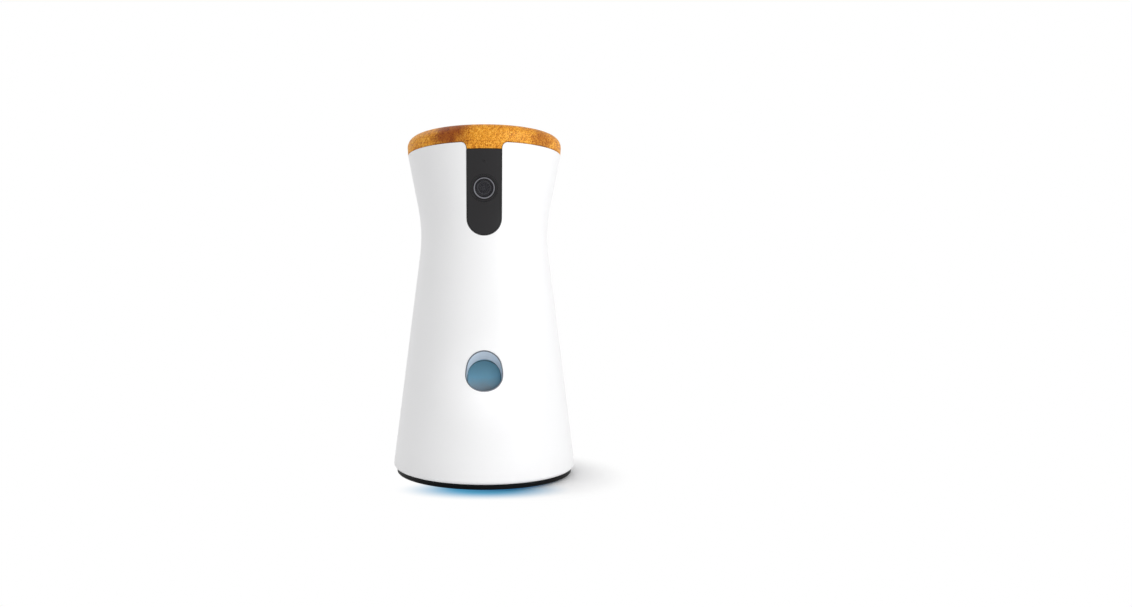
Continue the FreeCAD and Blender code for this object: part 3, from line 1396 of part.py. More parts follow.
def outlet_duct():
    """The grey tunnel from the chamber, its nose through the shell, its shoulder behind the wall."""
    low, high = f"{SHELL_LOW} + 2 * wall", LEDGE_LOW
    nose = common("duct_nose", [outlet_tunnel("nose_tunnel", "-duct_gap"),
                                core("nose_core", "duct_drop", low, high)])
    shoulder = common("duct_shoulder", [outlet_tunnel("shoulder_tunnel", "duct_wall"),
                                        core("shoulder_core", "wall + seat_gap", low, high)])
    behind = box("duct_behind", both_ways(BASE_RADIUS), (f"{CHAMBER_FACE} - seat_gap", "0"),
                 ("0", "waist_height"))
    node(cut("duct", fused("duct_solid", [nose, shoulder]),
             [outlet_tunnel("duct_hole", TUNNEL_SHRINK), behind]), "outlet_duct")


def paddle():
    """The leaf that tosses the treat, its shaft, its toothed sector and its spring."""
    half, top = "paddle_half_width", "(paddle_length - paddle_half_width)"
    leaf = extruded("leaf", "XY", [
        (half, "0"),
        (half, top, half, 1),
        ("0", "paddle_length", half, 1),
        (f"-{half}", top),
        (f"-{half}", "0"),
    ], "-paddle_thick / 2", "paddle_thick / 2")
    hub = cylinder("leaf_hub", "paddle_hub", f"-{half}", half, axis="X")
    bore = cylinder("leaf_bore", "toss_shaft + press_gap", f"-{half} - 1", f"{half} + 1", axis="X")
    piece = cut("leaf_bored", fused("leaf_solid", [leaf, hub]), [bore])
    piece.Placement = FreeCAD.Placement(Vector(), Rotation(Vector(1, 0, 0), 1))
    bind(piece, "Placement.Rotation.Angle", "90 - paddle_lean")
    node(move(piece, y=PIVOT_PLACE, z="pivot_height"), "toss_paddle")

    node(cylinder("paddle_axle", "toss_shaft", f"-{CHAMBER_SIDE} - shaft_overhang",
                  f"{TOSS_GEAR_HIGH} + seat_gap", (PIVOT_PLACE, "pivot_height"), "X"),
         "paddle_shaft")

    across_x = FreeCAD.Placement(Vector(), Rotation(Vector(0, 1, 0), 90))
    pitch = "360 / sector_teeth"
    teeth = gear("sector_toothed", "sector_teeth", TOSS_GEAR_LOW, TOSS_GEAR_HIGH, f"45 - {pitch}",
                 used="sector_used")
    reach = "gear_module * sector_teeth"
    start, middle, end = (f"45 - {pitch} * 1.5", f"45 + {pitch} * (sector_used / 2 - 1.5)",
                          f"45 + {pitch} * (sector_used - 1.5)")
    corners = [(f"{reach} * cos({angle})", f"{reach} * sin({angle})")
               for angle in (start, middle, end)]
    slice_ = extruded("sector_slice", "XY", [("0", "0")] + corners, TOSS_GEAR_LOW, TOSS_GEAR_HIGH)
    hub = cylinder("sector_hub_round", "sector_hub", f"{CHAMBER_SIDE} + seat_gap", TOSS_GEAR_HIGH)
    bore = cylinder("sector_bore", "toss_shaft + press_gap", CHAMBER_SIDE, f"{TOSS_GEAR_HIGH} + 1")
    sector = cut("sector", fused("sector_solid", [common("sector_kept", [teeth, slice_]), hub]),
                 [bore])
    sector.Placement = across_x
    node(move(sector, y=PIVOT_PLACE, z="pivot_height"), "sector_gear")

    pitch = "360 / toss_teeth"
    teeth = gear("toss_toothed", "toss_teeth", TOSS_GEAR_LOW, TOSS_GEAR_HIGH,
                 f"225 + {pitch} / 2 - {pitch} * (toss_used - 1)", used="toss_used")
    shaft = cylinder("toss_axle", "motor_shaft", f"{CHAMBER_SIDE} - shaft_grip", TOSS_GEAR_HIGH)
    boss = cylinder("toss_boss", "toss_hub", f"{TOSS_GEAR_LOW} - toss_gear_gap / 2", TOSS_GEAR_HIGH)
    drive = fused("toss_wheel", [teeth, shaft, boss])
    drive.Placement = across_x
    node(move(drive, y=TOSS_PLACE, z=TOSS_HEIGHT), "toss_drive_gear")


def toss_spring():
    """The coil spring round the paddle's shaft, outside the chamber's wall."""
    body = doc.addObject("PartDesign::Body", "coil")
    sketch = new_sketch(body, "coil_wire", "XZ")
    start = f"({CHAMBER_SIDE} + spring_wire + seat_gap)"
    wire = sketch.addGeometry(Part.Circle(Vector(number("spring_radius"), number(start), 0),
                                          Vector(0, 0, 1), number("spring_wire")))
    tie(sketch, Sketcher.Constraint("DistanceX", -1, 1, wire, 3, number("spring_radius")),
        "spring_radius")
    tie(sketch, Sketcher.Constraint("DistanceY", -1, 1, wire, 3, number(start)), start)
    tie(sketch, Sketcher.Constraint("Radius", wire, number("spring_wire")), "spring_wire")
    helix = body.newObject("PartDesign::AdditiveHelix", "coil_turns")
    helix.Profile = sketch
    helix.ReferenceAxis = (sketch, ["V_Axis"])
    helix.Mode = 0
    bind(helix, "Pitch", "spring_pitch")
    bind(helix, "Height", "spring_pitch * spring_turns")
    body.Placement = FreeCAD.Placement(Vector(), Rotation(Vector(0, 1, 0), -90))
    node(move(body, y=PIVOT_PLACE, z="pivot_height"), "toss_spring")


# Electronics over the deck, and the speaker at the back

def main_board():
    """The round board on the deck's studs, cut out round the chute and the dosing motor."""
    board = cylinder("board_disc", MAIN_BOARD_RADIUS, BOARD_LOW, BOARD_TOP)
    below, above = f"{BOARD_LOW} - 1", f"{BOARD_TOP} + 1"
    side, deep = f"{PEDESTAL_SIDE} + shell_gap", f"({PEDESTAL_DEEP} + shell_gap)"
    holes = [cylinder("board_exit", "chute_flange + shell_gap", below, above, ("0", EXIT_PLACE)),
             box("board_pedestal", both_ways(side),
                 (f"{DOSING_PLACE} - {deep}", f"{DOSING_PLACE} + {deep}"), (below, above))]
    holes += [pilot(f"board_hole_{index}", place, below, above)
              for index, place in enumerate(board_spots())]
    node(cut("board", board, holes), "main_board")


FLEX_PLACE = f"(-({WAIST_INNER} + {HOPPER_RADIUS} - hopper_offset) / 2)"
PLUG_TOP = f"({BOARD_TOP} + plug_height)"


def chip(name, x, y, half_x, half_y, height):
    """A flat part standing on the main board."""
    return box(name, (f"{x} - {half_x}", f"{x} + {half_x}"), (f"{y} - {half_y}", f"{y} + {half_y}"),
               (BOARD_TOP, f"{BOARD_TOP} + {height}"))


def board_chips():
    """The processor, the radio, the memory, the motor driver and the camera's plug."""
    node(group("chips", [
        chip("processor", "chip_place", "0", "large_chip / 2", "large_chip / 2", "chip_thick"),
        chip("radio", "-chip_place", "large_chip / 2", "large_chip / 2", "small_chip / 2",
             "chip_thick * 1.5"),
        chip("memory", "chip_place", "-large_chip", "small_chip / 2", "small_chip / 2", "chip_thick"),
        chip("motor_driver", "-chip_place", "-small_chip", "small_chip / 2", "small_chip / 2",
             "chip_thick"),
        chip("camera_plug", "0", FLEX_PLACE, "flex_half_width + 1", "flex_thick * 3", "plug_height"),
    ]), "board_chips")


def cables():
    """The twisting lead through the hollow post, and the camera's flat cable."""
    node(cylinder("lead", "harness_radius", f"{BASE_BOARD_TOP} + connector_height + seat_gap",
                  BOARD_LOW), "harness")
    depth = f"({CAMERA_DEPTH} + board_thick / 2)"
    top_y = f"(-{upper_radius(LENS_HEIGHT)} + camera_board_half * sin(atan(upper_slope))"
    top_y += f" + {depth} * cos(atan(upper_slope)))"
    top_z = f"({LENS_HEIGHT} - camera_board_half * cos(atan(upper_slope))"
    top_z += f" + {depth} * sin(atan(upper_slope)) - seat_gap)"
    bend_z = f"({HOPPER_FLOOR} + wheel_height)"
    path = [(FLEX_PLACE, PLUG_TOP), (FLEX_PLACE, bend_z), (top_y, top_z)]
    back = [(f"{y} + flex_thick", z) for y, z in reversed(path)]
    node(extruded("ribbon", "YZ", path + back, *both_ways("flex_half_width")), "camera_flex")


def speaker():
    """A round speaker that faces the sound holes at the back."""
    flange = "(speaker_face - speaker_flange_thick)"
    magnet = "(speaker_face - speaker_depth - magnet_depth - speaker_flange_thick)"
    basket = f"({magnet} + magnet_depth)"
    whole = revolved("speaker_solid", [
        ("0", magnet),
        ("magnet_radius", magnet),
        ("magnet_radius", basket),
        ("magnet_radius + speaker_edge", basket),
        ("speaker_radius - speaker_edge", flange),
        ("speaker_flange", flange),
        ("speaker_flange", "speaker_face"),
        ("speaker_radius - speaker_edge", "speaker_face"),
        ("magnet_radius / 2", f"{basket} + speaker_flange_thick"),
        ("0", f"{basket} + speaker_flange_thick"),
    ])
    whole.Placement = FreeCAD.Placement(Vector(), AXIS_TURNS["Y"])
    node(move(whole, z="speaker_height"), "speaker")


# Window and camera. The camera's own frame lies on the skin at the lens, its Z outwards and its Y up

def facing(target):
    """Place a piece that was drawn in the camera's own frame."""
    target.Placement = FreeCAD.Placement(Vector(), Rotation(Vector(1, 0, 0), 1))
    target.setExpression("Placement.Rotation.Angle", bound("90 deg + atan(upper_slope)"))
    return move(target, y=f"-{upper_radius(LENS_HEIGHT)}", z=LENS_HEIGHT)


def round_piece(name, points):
    """A piece turned about the lens axis, from (radius, height over the skin) points."""
    return facing(revolved(name, points))


def flat_piece(name, x_range, y_range, low, high):
    """A block in the camera's own frame."""
    (left, right), (bottom, top) = x_range, y_range
    return facing(extruded(name, "XY", [(left, bottom), (right, bottom), (right, top), (left, top)],
                           low, high))


def drilled(name, radius, place, low, high):
    """A round rod or hole in the camera's own frame, away from the lens axis."""
    x, y = place
    points = [(f"{x} - {radius}", y, radius, 1), (x, f"{y} - {radius}", radius, 1),
              (f"{x} + {radius}", y, radius, 1), (x, f"{y} + {radius}", radius, 1)]
    return facing(extruded(name, "XY", points, low, high))


IR_MIDDLE = "((ir_board_low + ir_board_high) / 2)"
LAMP_PLACES = (("-ir_spacing", IR_MIDDLE), ("ir_spacing", IR_MIDDLE))


def window():
    """The dark window in the notch and the frame that backs it inside the shell."""
    front, back = f"-{BASE_RADIUS}", f"-{LEDGE_INNER} / 2"
    panel = extruded("panel_prism", "XZ", window_outline("-window_gap", WINDOW_TOP), front, back)
    band = skin_band("panel_band", "window_recess", "window_recess + window_thick")
    deep = "-window_thick * 5"
    holes = [round_piece("panel_lens_hole", [("0", deep), ("lens_window", deep),
                                             ("lens_window", "window_thick"), ("0", "window_thick")]),
             drilled("panel_sound_hole", "sound_hole / 3", ("0", IR_MIDDLE), deep, "window_thick")]
    node(cut("panel", common("panel_solid", [panel, band]), holes), "window_panel")

    top = f"{FLANGE_LOW} + window_frame_margin / 4"
    prism = extruded("frame_prism", "XZ", window_outline("window_frame_margin", top), front, back)
    band = skin_band("frame_band", FRAME_FRONT, FRAME_BACK)
    holes = [round_piece("frame_lens_hole", [("0", deep), ("lens_window", deep),
                                             ("lens_window", "window_thick"), ("0", "window_thick")]),
             drilled("frame_sound_hole", "sound_hole", ("0", IR_MIDDLE), deep, "window_thick")]
    holes += [drilled(f"frame_lamp_hole_{index}", "(ir_radius + seat_gap)", place, deep, "window_thick")
              for index, place in enumerate(LAMP_PLACES)]
    node(cut("backing", common("backing_solid", [prism, band]), holes), "window_frame")


def camera():
    """The lens with its rings, barrel, board and sleeve."""
    node(round_piece("bezel", [
        ("bezel_inner", "-bezel_depth"),
        ("bezel_outer", "-bezel_depth"),
        ("bezel_outer", "-bezel_drop"),
        ("bezel_inner + bezel_chamfer", "-bezel_drop"),
        ("bezel_inner", "-bezel_drop - bezel_chamfer"),
    ]), "lens_bezel")
    node(round_piece("bright_ring", [
        ("lens_ring_inner", "-lens_ring_depth"),
        ("lens_ring_outer", "-lens_ring_depth"),
        ("lens_ring_outer", "-lens_ring_drop"),
        ("lens_ring_inner + lens_ring_drop", "-lens_ring_drop"),
        ("lens_ring_inner", "-lens_ring_drop * 2"),
    ]), "lens_ring")
    sphere = "((lens_glass_radius ^ 2 + lens_glass_rise ^ 2) / (2 * lens_glass_rise))"
    rim = "(-lens_glass_drop - lens_glass_rise)"
    node(round_piece("glass_dome", [
        ("0", f"{rim} - lens_glass_thick"),
        ("lens_glass_radius", f"{rim} - lens_glass_thick"),
        ("lens_glass_radius", rim, sphere, 1),
        ("0", "-lens_glass_drop"),
    ]), "lens_glass")
    front = "(-lens_ring_depth - lens_barrel_gap)"
    node(round_piece("barrel", [
        ("0", f"-{CAMERA_DEPTH}"),
        ("lens_barrel_radius", f"-{CAMERA_DEPTH}"),
        ("lens_barrel_radius", front),
        ("lens_glass_radius", front),
        ("lens_barrel_radius * 2 / 3", f"{front} - lens_barrel_step"),
        ("lens_barrel_radius * 2 / 3", f"{front} - lens_barrel_step * 2"),
        ("lens_barrel_radius / 3", f"{front} - lens_barrel_step * 3"),
        ("0", f"{front} - lens_barrel_step * 3"),
    ]), "lens_barrel")

    half = "camera_board_half"
    node(flat_piece("camera_card", both_ways(half), both_ways(half),
                    f"-{CAMERA_DEPTH} - board_thick", f"-{CAMERA_DEPTH}"), "camera_board")
    outer = flat_piece("sleeve_outer", both_ways(half), both_ways(half), f"-{CAMERA_DEPTH}",
                       "-window_thick")
    inner = flat_piece("sleeve_inner", both_ways(f"{half} - bracket_wall"),
                       both_ways(f"{half} - bracket_wall"), f"-{CAMERA_DEPTH} - 1", "0")
    behind = core("sleeve_core", f"{FRAME_BACK} + seat_gap", DECK_TOP, LEDGE_LOW)
    node(cut("sleeve", common("sleeve_solid", [outer, behind]), [inner]), "camera_bracket")

    node(flat_piece("lamp_card", both_ways("ir_board_half"), ("ir_board_low", "ir_board_high"),
                    "-ir_depth - led_board_thick", "-ir_depth"), "ir_board")
    node(group("night_lamps", [
        drilled(f"night_lamp_{index}", "ir_radius", place, "-ir_depth", "-ir_depth + ir_length")
        for index, place in enumerate(LAMP_PLACES)]), "ir_leds")
    node(drilled("sound_can", "microphone_radius", ("0", IR_MIDDLE), "-ir_depth",
                 "-ir_depth + microphone_height"), "microphone")


# Lid: the wooden top, its liner with the plug and seal, and their screws

LID_SCREWS = [(f"{x} * lid_screw_spread", f"hopper_offset + {y} * lid_screw_spread")
              for x in (-1, 1) for y in (-1, 1)]
LID_SEAT = f"({LINER_LOW} + small_head_height)"
PLUG_LOW = f"({LINER_LOW} - plug_depth)"
SEAL_LOW = f"({PLUG_LOW} + seal_place)"
SEAL_HIGH = f"({SEAL_LOW} + seal_height)"
SEAL_INNER = f"({PLUG_RADIUS} - seal_lip)"


def tab_outline():
    """The lid's tab in the top of the notch, its hollow corners round the shell's rim corners."""
    half, wide = "(notch_width / 2 - shell_gap)", "(notch_width / 2 + notch_corner)"
    corner, corner_height = "(notch_corner + shell_gap)", f"{SHELL_TOP} - notch_corner"
    return [
        (f"-{half}", TAB_LOW),
        (half, TAB_LOW),
        (half, corner_height, corner, -1),
        (wide, LID_LOW),
        (wide, f"{LID_LOW} + 1"),
        (f"-{wide}", f"{LID_LOW} + 1"),
        (f"-{wide}", LID_LOW, corner, -1),
        (f"-{half}", corner_height),
    ]


def lid():
    """The lift-off lid."""
    foot = upper_radius(LID_LOW)
    rim = f"({foot} + lid_flare)"
    block = revolved("lid_block", [
        ("0", LID_LOW),
        (f"{foot} - lid_lower_round", LID_LOW, "lid_lower_round", 1),
        (foot, f"{LID_LOW} + lid_lower_round"),
        (rim, "total_height - lid_edge_round", "lid_edge_round", 1),
        (f"{rim} - lid_edge_round", "total_height"),
        ("0", "total_height"),
    ])
    prism = extruded("tab_prism", "XZ", tab_outline(), f"-{BASE_RADIUS}", f"-{LEDGE_INNER} / 2")
    tab = common("tab", [prism, skin_band("tab_band", "0", "lid_tab_thick")])
    holes = [pilot(f"lid_pilot_{index}", place, f"{LID_LOW} - 1", f"{LID_SEAT} + small_screw_length",
                   small=True)
             for index, place in enumerate(LID_SCREWS)]
    node(cut("lid_cut", fused("lid_solid", [block, tab]), holes), "lid_top")

    plug = move(revolved("plug", [
        (f"{PLUG_RADIUS} - plug_wall - seal_lip", PLUG_LOW),
        (PLUG_RADIUS, PLUG_LOW),
        (PLUG_RADIUS, SEAL_LOW),
        (SEAL_INNER, SEAL_LOW),
        (SEAL_INNER, SEAL_HIGH),
        (PLUG_RADIUS, SEAL_HIGH),
        (PLUG_RADIUS, f"{LINER_LOW} + 1"),
        (f"{PLUG_RADIUS} - plug_wall - seal_lip", f"{LINER_LOW} + 1"),
    ]), y="hopper_offset")
    disc = cylinder("liner_disc", LINER_RADIUS, LINER_LOW, LID_LOW)
    holes = []
    for index, place in enumerate(LID_SCREWS):
        holes.append(pilot(f"liner_hole_{index}", place, f"{LINER_LOW} - 1", f"{LID_LOW} + 1",
                           small=True))
        holes.append(head_room(f"liner_head_{index}", place, f"{LINER_LOW} - 1", LID_SEAT,
                               small=True))
    node(cut("liner", fused("liner_solid", [plug, disc]), holes), "lid_liner")

    inner, outer = f"({SEAL_INNER} + press_gap)", f"({HOPPER_INNER} - seat_gap)"
    middle = f"({SEAL_LOW} + {SEAL_HIGH}) / 2"
    low, high = f"{SEAL_LOW} + press_gap", f"{SEAL_HIGH} - press_gap"
    node(move(revolved("seal", [
        (inner, low),
        (PLUG_RADIUS, low),
        (outer, f"{middle} - seal_edge"),
        (outer, f"{middle} + seal_edge"),
        (PLUG_RADIUS, high),
        (inner, high),
    ]), y="hopper_offset"), "lid_seal")
    node(group("lid_fixings", [screw(f"lid_screw_{index}", place, LID_SEAT, True, small=True)
                               for index, place in enumerate(LID_SCREWS)]), "lid_screws")


# Build every sub-part, check it and write it

SUB_PARTS = [
    foot_ring, bottom_plate, light_guide, led_board, base_housing, base_electronics, setup_button,
    bearing, pan_drive, keeper_ring, base_screws, outer_shell, turntable, frame_posts, mid_deck,
    turret_screws, motors, hopper, treat_wheel, treat_chute, toss_housing, outlet_duct, paddle,
    toss_spring, main_board, board_chips, cables, speaker, window, camera, lid,
]
for make in SUB_PARTS:
    make()
doc.recompute()

faults = [f"{item.Label}: {', '.join(item.State)}" for item in doc.Objects
          if "Invalid" in item.State or "Error" in item.State]
for piece in nodes:
    if piece.Shape.isNull() or not piece.Shape.isValid() or not piece.Shape.Solids:
        faults.append(f"{piece.Label}: no valid solid")
if faults:
    raise RuntimeError("\n".join(faults))

os.makedirs("parts", exist_ok=True)
for piece in nodes:
    piece.Shape.exportStep(f"parts/{piece.Label}.step")
    print(f"{piece.Label}: {len(piece.Shape.Solids)} solids, {piece.Shape.Volume:.1f} mm3")
print(len(nodes), "sub-parts")
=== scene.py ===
"""Looks of the treat tossing pet camera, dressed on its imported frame.

Metres, +Z up, front at -Y.
"""

import json
import math
from functools import partial

import bmesh
import bpy
from mathutils import Matrix, Vector


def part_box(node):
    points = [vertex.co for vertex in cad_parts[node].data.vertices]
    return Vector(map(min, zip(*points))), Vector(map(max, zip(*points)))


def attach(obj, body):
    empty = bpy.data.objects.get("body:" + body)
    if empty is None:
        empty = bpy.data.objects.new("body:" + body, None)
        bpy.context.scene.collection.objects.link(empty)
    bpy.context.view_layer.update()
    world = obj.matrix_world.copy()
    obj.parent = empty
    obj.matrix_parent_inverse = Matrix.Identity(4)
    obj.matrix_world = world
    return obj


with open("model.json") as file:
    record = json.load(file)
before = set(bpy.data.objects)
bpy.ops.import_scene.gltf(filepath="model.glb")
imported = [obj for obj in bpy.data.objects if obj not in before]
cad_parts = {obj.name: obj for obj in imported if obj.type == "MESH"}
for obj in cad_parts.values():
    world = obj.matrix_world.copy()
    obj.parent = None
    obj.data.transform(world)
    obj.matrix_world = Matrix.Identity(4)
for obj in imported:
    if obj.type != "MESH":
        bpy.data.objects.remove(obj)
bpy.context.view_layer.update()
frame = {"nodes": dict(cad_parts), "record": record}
scene = bpy.context.scene

# Camera, from the photograph: a level camera whose frame's middle lies right of the object
EYE = (0, -0.508, 0.1139)
SENSOR_WIDTH = 36
FOCAL_PIXELS = 748.9
IMAGE_WIDTH, IMAGE_HEIGHT = 1132, 607
AXIS_PIXEL, HORIZON_PIXEL = 484.2, 302.4
CLIP_START = 0.01


def make_camera():
    """A level camera on the object's front, framed as the photograph is."""
    data = bpy.data.cameras.new("camera")
    data.sensor_width = SENSOR_WIDTH
    data.lens = SENSOR_WIDTH * FOCAL_PIXELS / IMAGE_WIDTH
    data.shift_x = (IMAGE_WIDTH / 2 - AXIS_PIXEL) / IMAGE_WIDTH
    data.shift_y = (HORIZON_PIXEL - IMAGE_HEIGHT / 2) / IMAGE_WIDTH
    data.clip_start = CLIP_START
    camera = bpy.data.objects.new("camera", data)
    camera.location = EYE
    camera.rotation_euler = (math.radians(90), 0, 0)
    scene.collection.objects.link(camera)
    scene.camera = camera


# Places on the object

# The lower cone of the shell, from its upper end at the waist down to the table
CONE_TOP_RADIUS, CONE_TOP_HEIGHT = 0.04135, 0.1616
SKIN_SLOPE = 0.1245
FOOT_RADIUS = CONE_TOP_RADIUS + SKIN_SLOPE * CONE_TOP_HEIGHT


def middle_of(name):
    """The middle of a node's box."""
    low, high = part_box(name)
    return (Vector(low) + Vector(high)) / 2


# Building blocks of a material

# Most values of a noise lie between these two
NOISE_SPREAD = (0.3, 0.7)
# A pattern that isn't stretched, and one that isn't turned
EVEN, UNTURNED = (1, 1, 1), (0, 0, 0)
# A frayed patch: cells a metre of the noise that frays it, how far it does so as a share of the
# patch's reach, and the share of the reach that is full
FRAY_CELLS, FRAY_SHARE, PATCH_CORE = 140.0, 0.9, 0.25
# Satin plastic: cells a metre of its grain and the grain's depth
SATIN_CELLS, SATIN_DEPTH = 1600, 0.000006


class Shader:
    """A material with a Principled surface, and short calls for the nodes that colour it."""

    def __init__(self, name, **surface):
        self.material = bpy.data.materials.new(name)
        self.material.use_nodes = True
        self.tree = self.material.node_tree
        self.surface = self.tree.nodes["Principled BSDF"]
        self.output = self.tree.nodes["Material Output"]
        for socket, value in surface.items():
            self.surface.inputs[socket.replace("_", " ")].default_value = value

    def add(self, kind, settings=None, **inputs):
        """A node with its settings, and its inputs set or linked."""
        made = self.tree.nodes.new("ShaderNode" + kind)
        for name, value in (settings or {}).items():
            setattr(made, name, value)
        for name, value in inputs.items():
            self.feed(made.inputs[name.replace("_", " ")], value)
        return made

    def feed(self, socket, value):
        """Link a socket to another one, or set its value."""
        if isinstance(value, bpy.types.NodeSocket):
            self.tree.links.new(value, socket)
        else:
            socket.default_value = value

    def place(self, stretch=EVEN, turn=UNTURNED):
        """The piece's own coordinates in metres, for a pattern stretched and turned."""
        coordinates = self.add("TexCoord").outputs["Object"]
        return self.add("Mapping", {"vector_type": "TEXTURE"}, Vector=coordinates, Rotation=turn,
                        Scale=stretch).outputs["Vector"]

    def axis(self, name):
        """One of the piece's own coordinates in metres."""
        return self.add("SeparateXYZ", Vector=self.place()).outputs[name]

    def noise(self, scale, stretch=EVEN, turn=UNTURNED, detail=2.0, roughness=0.5):
        """A noise value with so many cells a metre."""
        return self.add("TexNoise", Vector=self.place(stretch, turn), Scale=scale, Detail=detail,
                        Roughness=roughness).outputs["Fac"]

    def math(self, operation, first, second=0.0):
        """A calculation on two values."""
        made = self.add("Math", {"operation": operation})
        self.feed(made.inputs[0], first)
        self.feed(made.inputs[1], second)
        return made.outputs[0]

    def ramp(self, value, stops):
        """A colour from a value, through (position, colour) stops."""
        made = self.add("ValToRGB", Fac=value)
        elements = made.color_ramp.elements
        while len(elements) < len(stops):
            elements.new(0.5)
        for element, (position, colour) in zip(elements, stops):
            element.position = position
            element.color = (*colour, 1)
        return made.outputs["Color"]

    def shades(self, noise, first, second):
        """A colour that goes from one to another over the spread of a noise."""
        return self.ramp(noise, list(zip(NOISE_SPREAD, (first, second))))

    def span(self, value, ends, results, smooth=False):
        """A value moved from one range to another, and kept inside it."""
        made = self.add("MapRange", {"interpolation_type": "SMOOTHSTEP" if smooth else "LINEAR"},
                        Value=value, From_Min=ends[0], From_Max=ends[1], To_Min=results[0],
                        To_Max=results[1])
        return made.outputs["Result"]

    def mix(self, factor, first, second, blend="MIX"):
        """Two colours mixed by a factor."""
        made = self.add("MixRGB", {"blend_type": blend}, Fac=factor)
        for socket, colour in (("Color1", first), ("Color2", second)):
            self.feed(made.inputs[socket], (*colour, 1) if isinstance(colour, tuple) else colour)
        return made.outputs["Color"]

    def near(self, centre, reach):
        """1 at a point, falling to 0 at a distance from it, with a frayed edge."""
        fray = reach * FRAY_SHARE
        rough = self.add("TexNoise", Vector=self.place(), Scale=FRAY_CELLS, Detail=3.0)
        shift = self.add("VectorMath", {"operation": "MULTIPLY_ADD"})
        self.feed(shift.inputs[0], rough.outputs["Color"])
        self.feed(shift.inputs[1], (fray,) * 3)
        self.feed(shift.inputs[2], self.place())
        away = self.add("VectorMath", {"operation": "DISTANCE"})
        self.feed(away.inputs[0], shift.outputs["Vector"])
        self.feed(away.inputs[1], tuple(value + fray / 2 for value in centre))
        return self.span(away.outputs["Value"], (reach * PATCH_CORE, reach), (1.0, 0.0),
                         smooth=True)

    def disc(self, middle, halves, ends):
        """1 inside an ellipse on the floor, falling to 0 between two shares of its size."""
        squares = []
        for name, centre, half in zip("XY", middle, halves):
            away = self.math("DIVIDE", self.math("SUBTRACT", self.axis(name), centre), half)
            squares.append(self.math("MULTIPLY", away, away))
        share = self.math("SQRT", self.math("ADD", *squares))
        return self.span(share, ends, (1.0, 0.0), smooth=True)

    def radius(self):
        """The distance from the object's upright axis."""
        squares = [self.math("MULTIPLY", self.axis(name), self.axis(name)) for name in "XY"]
        return self.math("SQRT", self.math("ADD", *squares))

    def under_skin(self, depth):
        """1 within a depth under the skin of the shell's lower cone, and 0 further in."""
        skin = self.math("ADD", FOOT_RADIUS, self.math("MULTIPLY", self.axis("Z"), -SKIN_SLOPE))
        return self.math("LESS_THAN", self.math("SUBTRACT", skin, self.radius()), depth)

    def clean(self, foot, top, cells, uneven):
        """0 in painted shade at the foot of a piece and 1 from a height upwards, with uneven
        spots.
        """
        height = self.span(self.axis("Z"), (foot, top), (0.0, 1.0), smooth=True)
        spots = self.span(self.noise(cells, detail=3.0), NOISE_SPREAD, (-uneven, uneven))
        return self.math("ADD", height, spots)

    def paint(self, **surface):
        """Link values to the surface's sockets."""
        for socket, value in surface.items():
            self.feed(self.surface.inputs[socket.replace("_", " ")], value)
        return self

    def bump(self, height, depth):
        """Raise the surface by a height map, at most depth metres high."""
        made = self.add("Bump", Height=height, Distance=depth, Strength=1.0)
        return self.paint(Normal=made.outputs["Normal"])

    def satin(self, tint, gloss_ends):
        """Finish the material as satin plastic of a colour, with a fine grain."""
        fine = self.noise(SATIN_CELLS, detail=3.0)
        gloss = self.span(fine, NOISE_SPREAD, gloss_ends)
        return self.paint(Base_Color=tint, Roughness=gloss).bump(fine, SATIN_DEPTH).material


def darker(colour, share):
    """A colour times a share of its brightness."""
    return tuple(channel * share for channel in colour)


# Plain plastic: cells a metre of the flow marks, and how far the roughness varies
FLOW_CELLS, FLOW_GLOSS = 35, 0.06
# Metal: cells a metre of the tarnish, its darkest share of the colour, the noise values between
# which it fades, and how far the marks raise and lower the roughness
TARNISH_CELLS, TARNISH_SHARE, TARNISH_ENDS = 120, 0.82, (0.35, 0.65)
MARKS_DULLER, MARKS_GLOSSIER = 0.1, 0.08


def plastic(name, colour, roughness=0.45, grain=1500, depth=0.00001, mottle=0.06, **surface):
    """Moulded plastic: a fine eroded grain, faint flow marks and uneven gloss."""
    shader = Shader(name, **surface)
    fine = shader.noise(grain, detail=3.0)
    broad = shader.noise(FLOW_CELLS, detail=3.0)
    tint = shader.shades(broad, darker(colour, 1 - mottle), colour)
    mixed = shader.math("MULTIPLY", shader.math("ADD", fine, broad), 0.5)
    gloss = shader.span(mixed, NOISE_SPREAD, (roughness - FLOW_GLOSS, roughness + FLOW_GLOSS))
    return shader.paint(Base_Color=tint, Roughness=gloss).bump(fine, depth).material


def metal(name, colour, roughness=0.3, stretch=(12, 12, 1), scale=900, depth=0.000006):
    """Metal with drawn or turned marks along its axes and a little tarnish."""
    shader = Shader(name, Metallic=1.0)
    marks = shader.noise(scale, stretch, detail=4.0, roughness=0.6)
    tarnish = shader.noise(TARNISH_CELLS, detail=4.0)
    tint = shader.ramp(tarnish, list(zip(TARNISH_ENDS, (darker(colour, TARNISH_SHARE), colour))))
    gloss = shader.span(marks, NOISE_SPREAD, (roughness - MARKS_GLOSSIER,
                                              roughness + MARKS_DULLER))
    return shader.paint(Base_Color=tint, Roughness=gloss).bump(marks, depth).material


def rubber(name, colour):
    """Matt rubber with a dusty, slightly pitted face."""
    return plastic(name, colour, roughness=0.72, grain=1800, depth=0.00003, mottle=0.25)


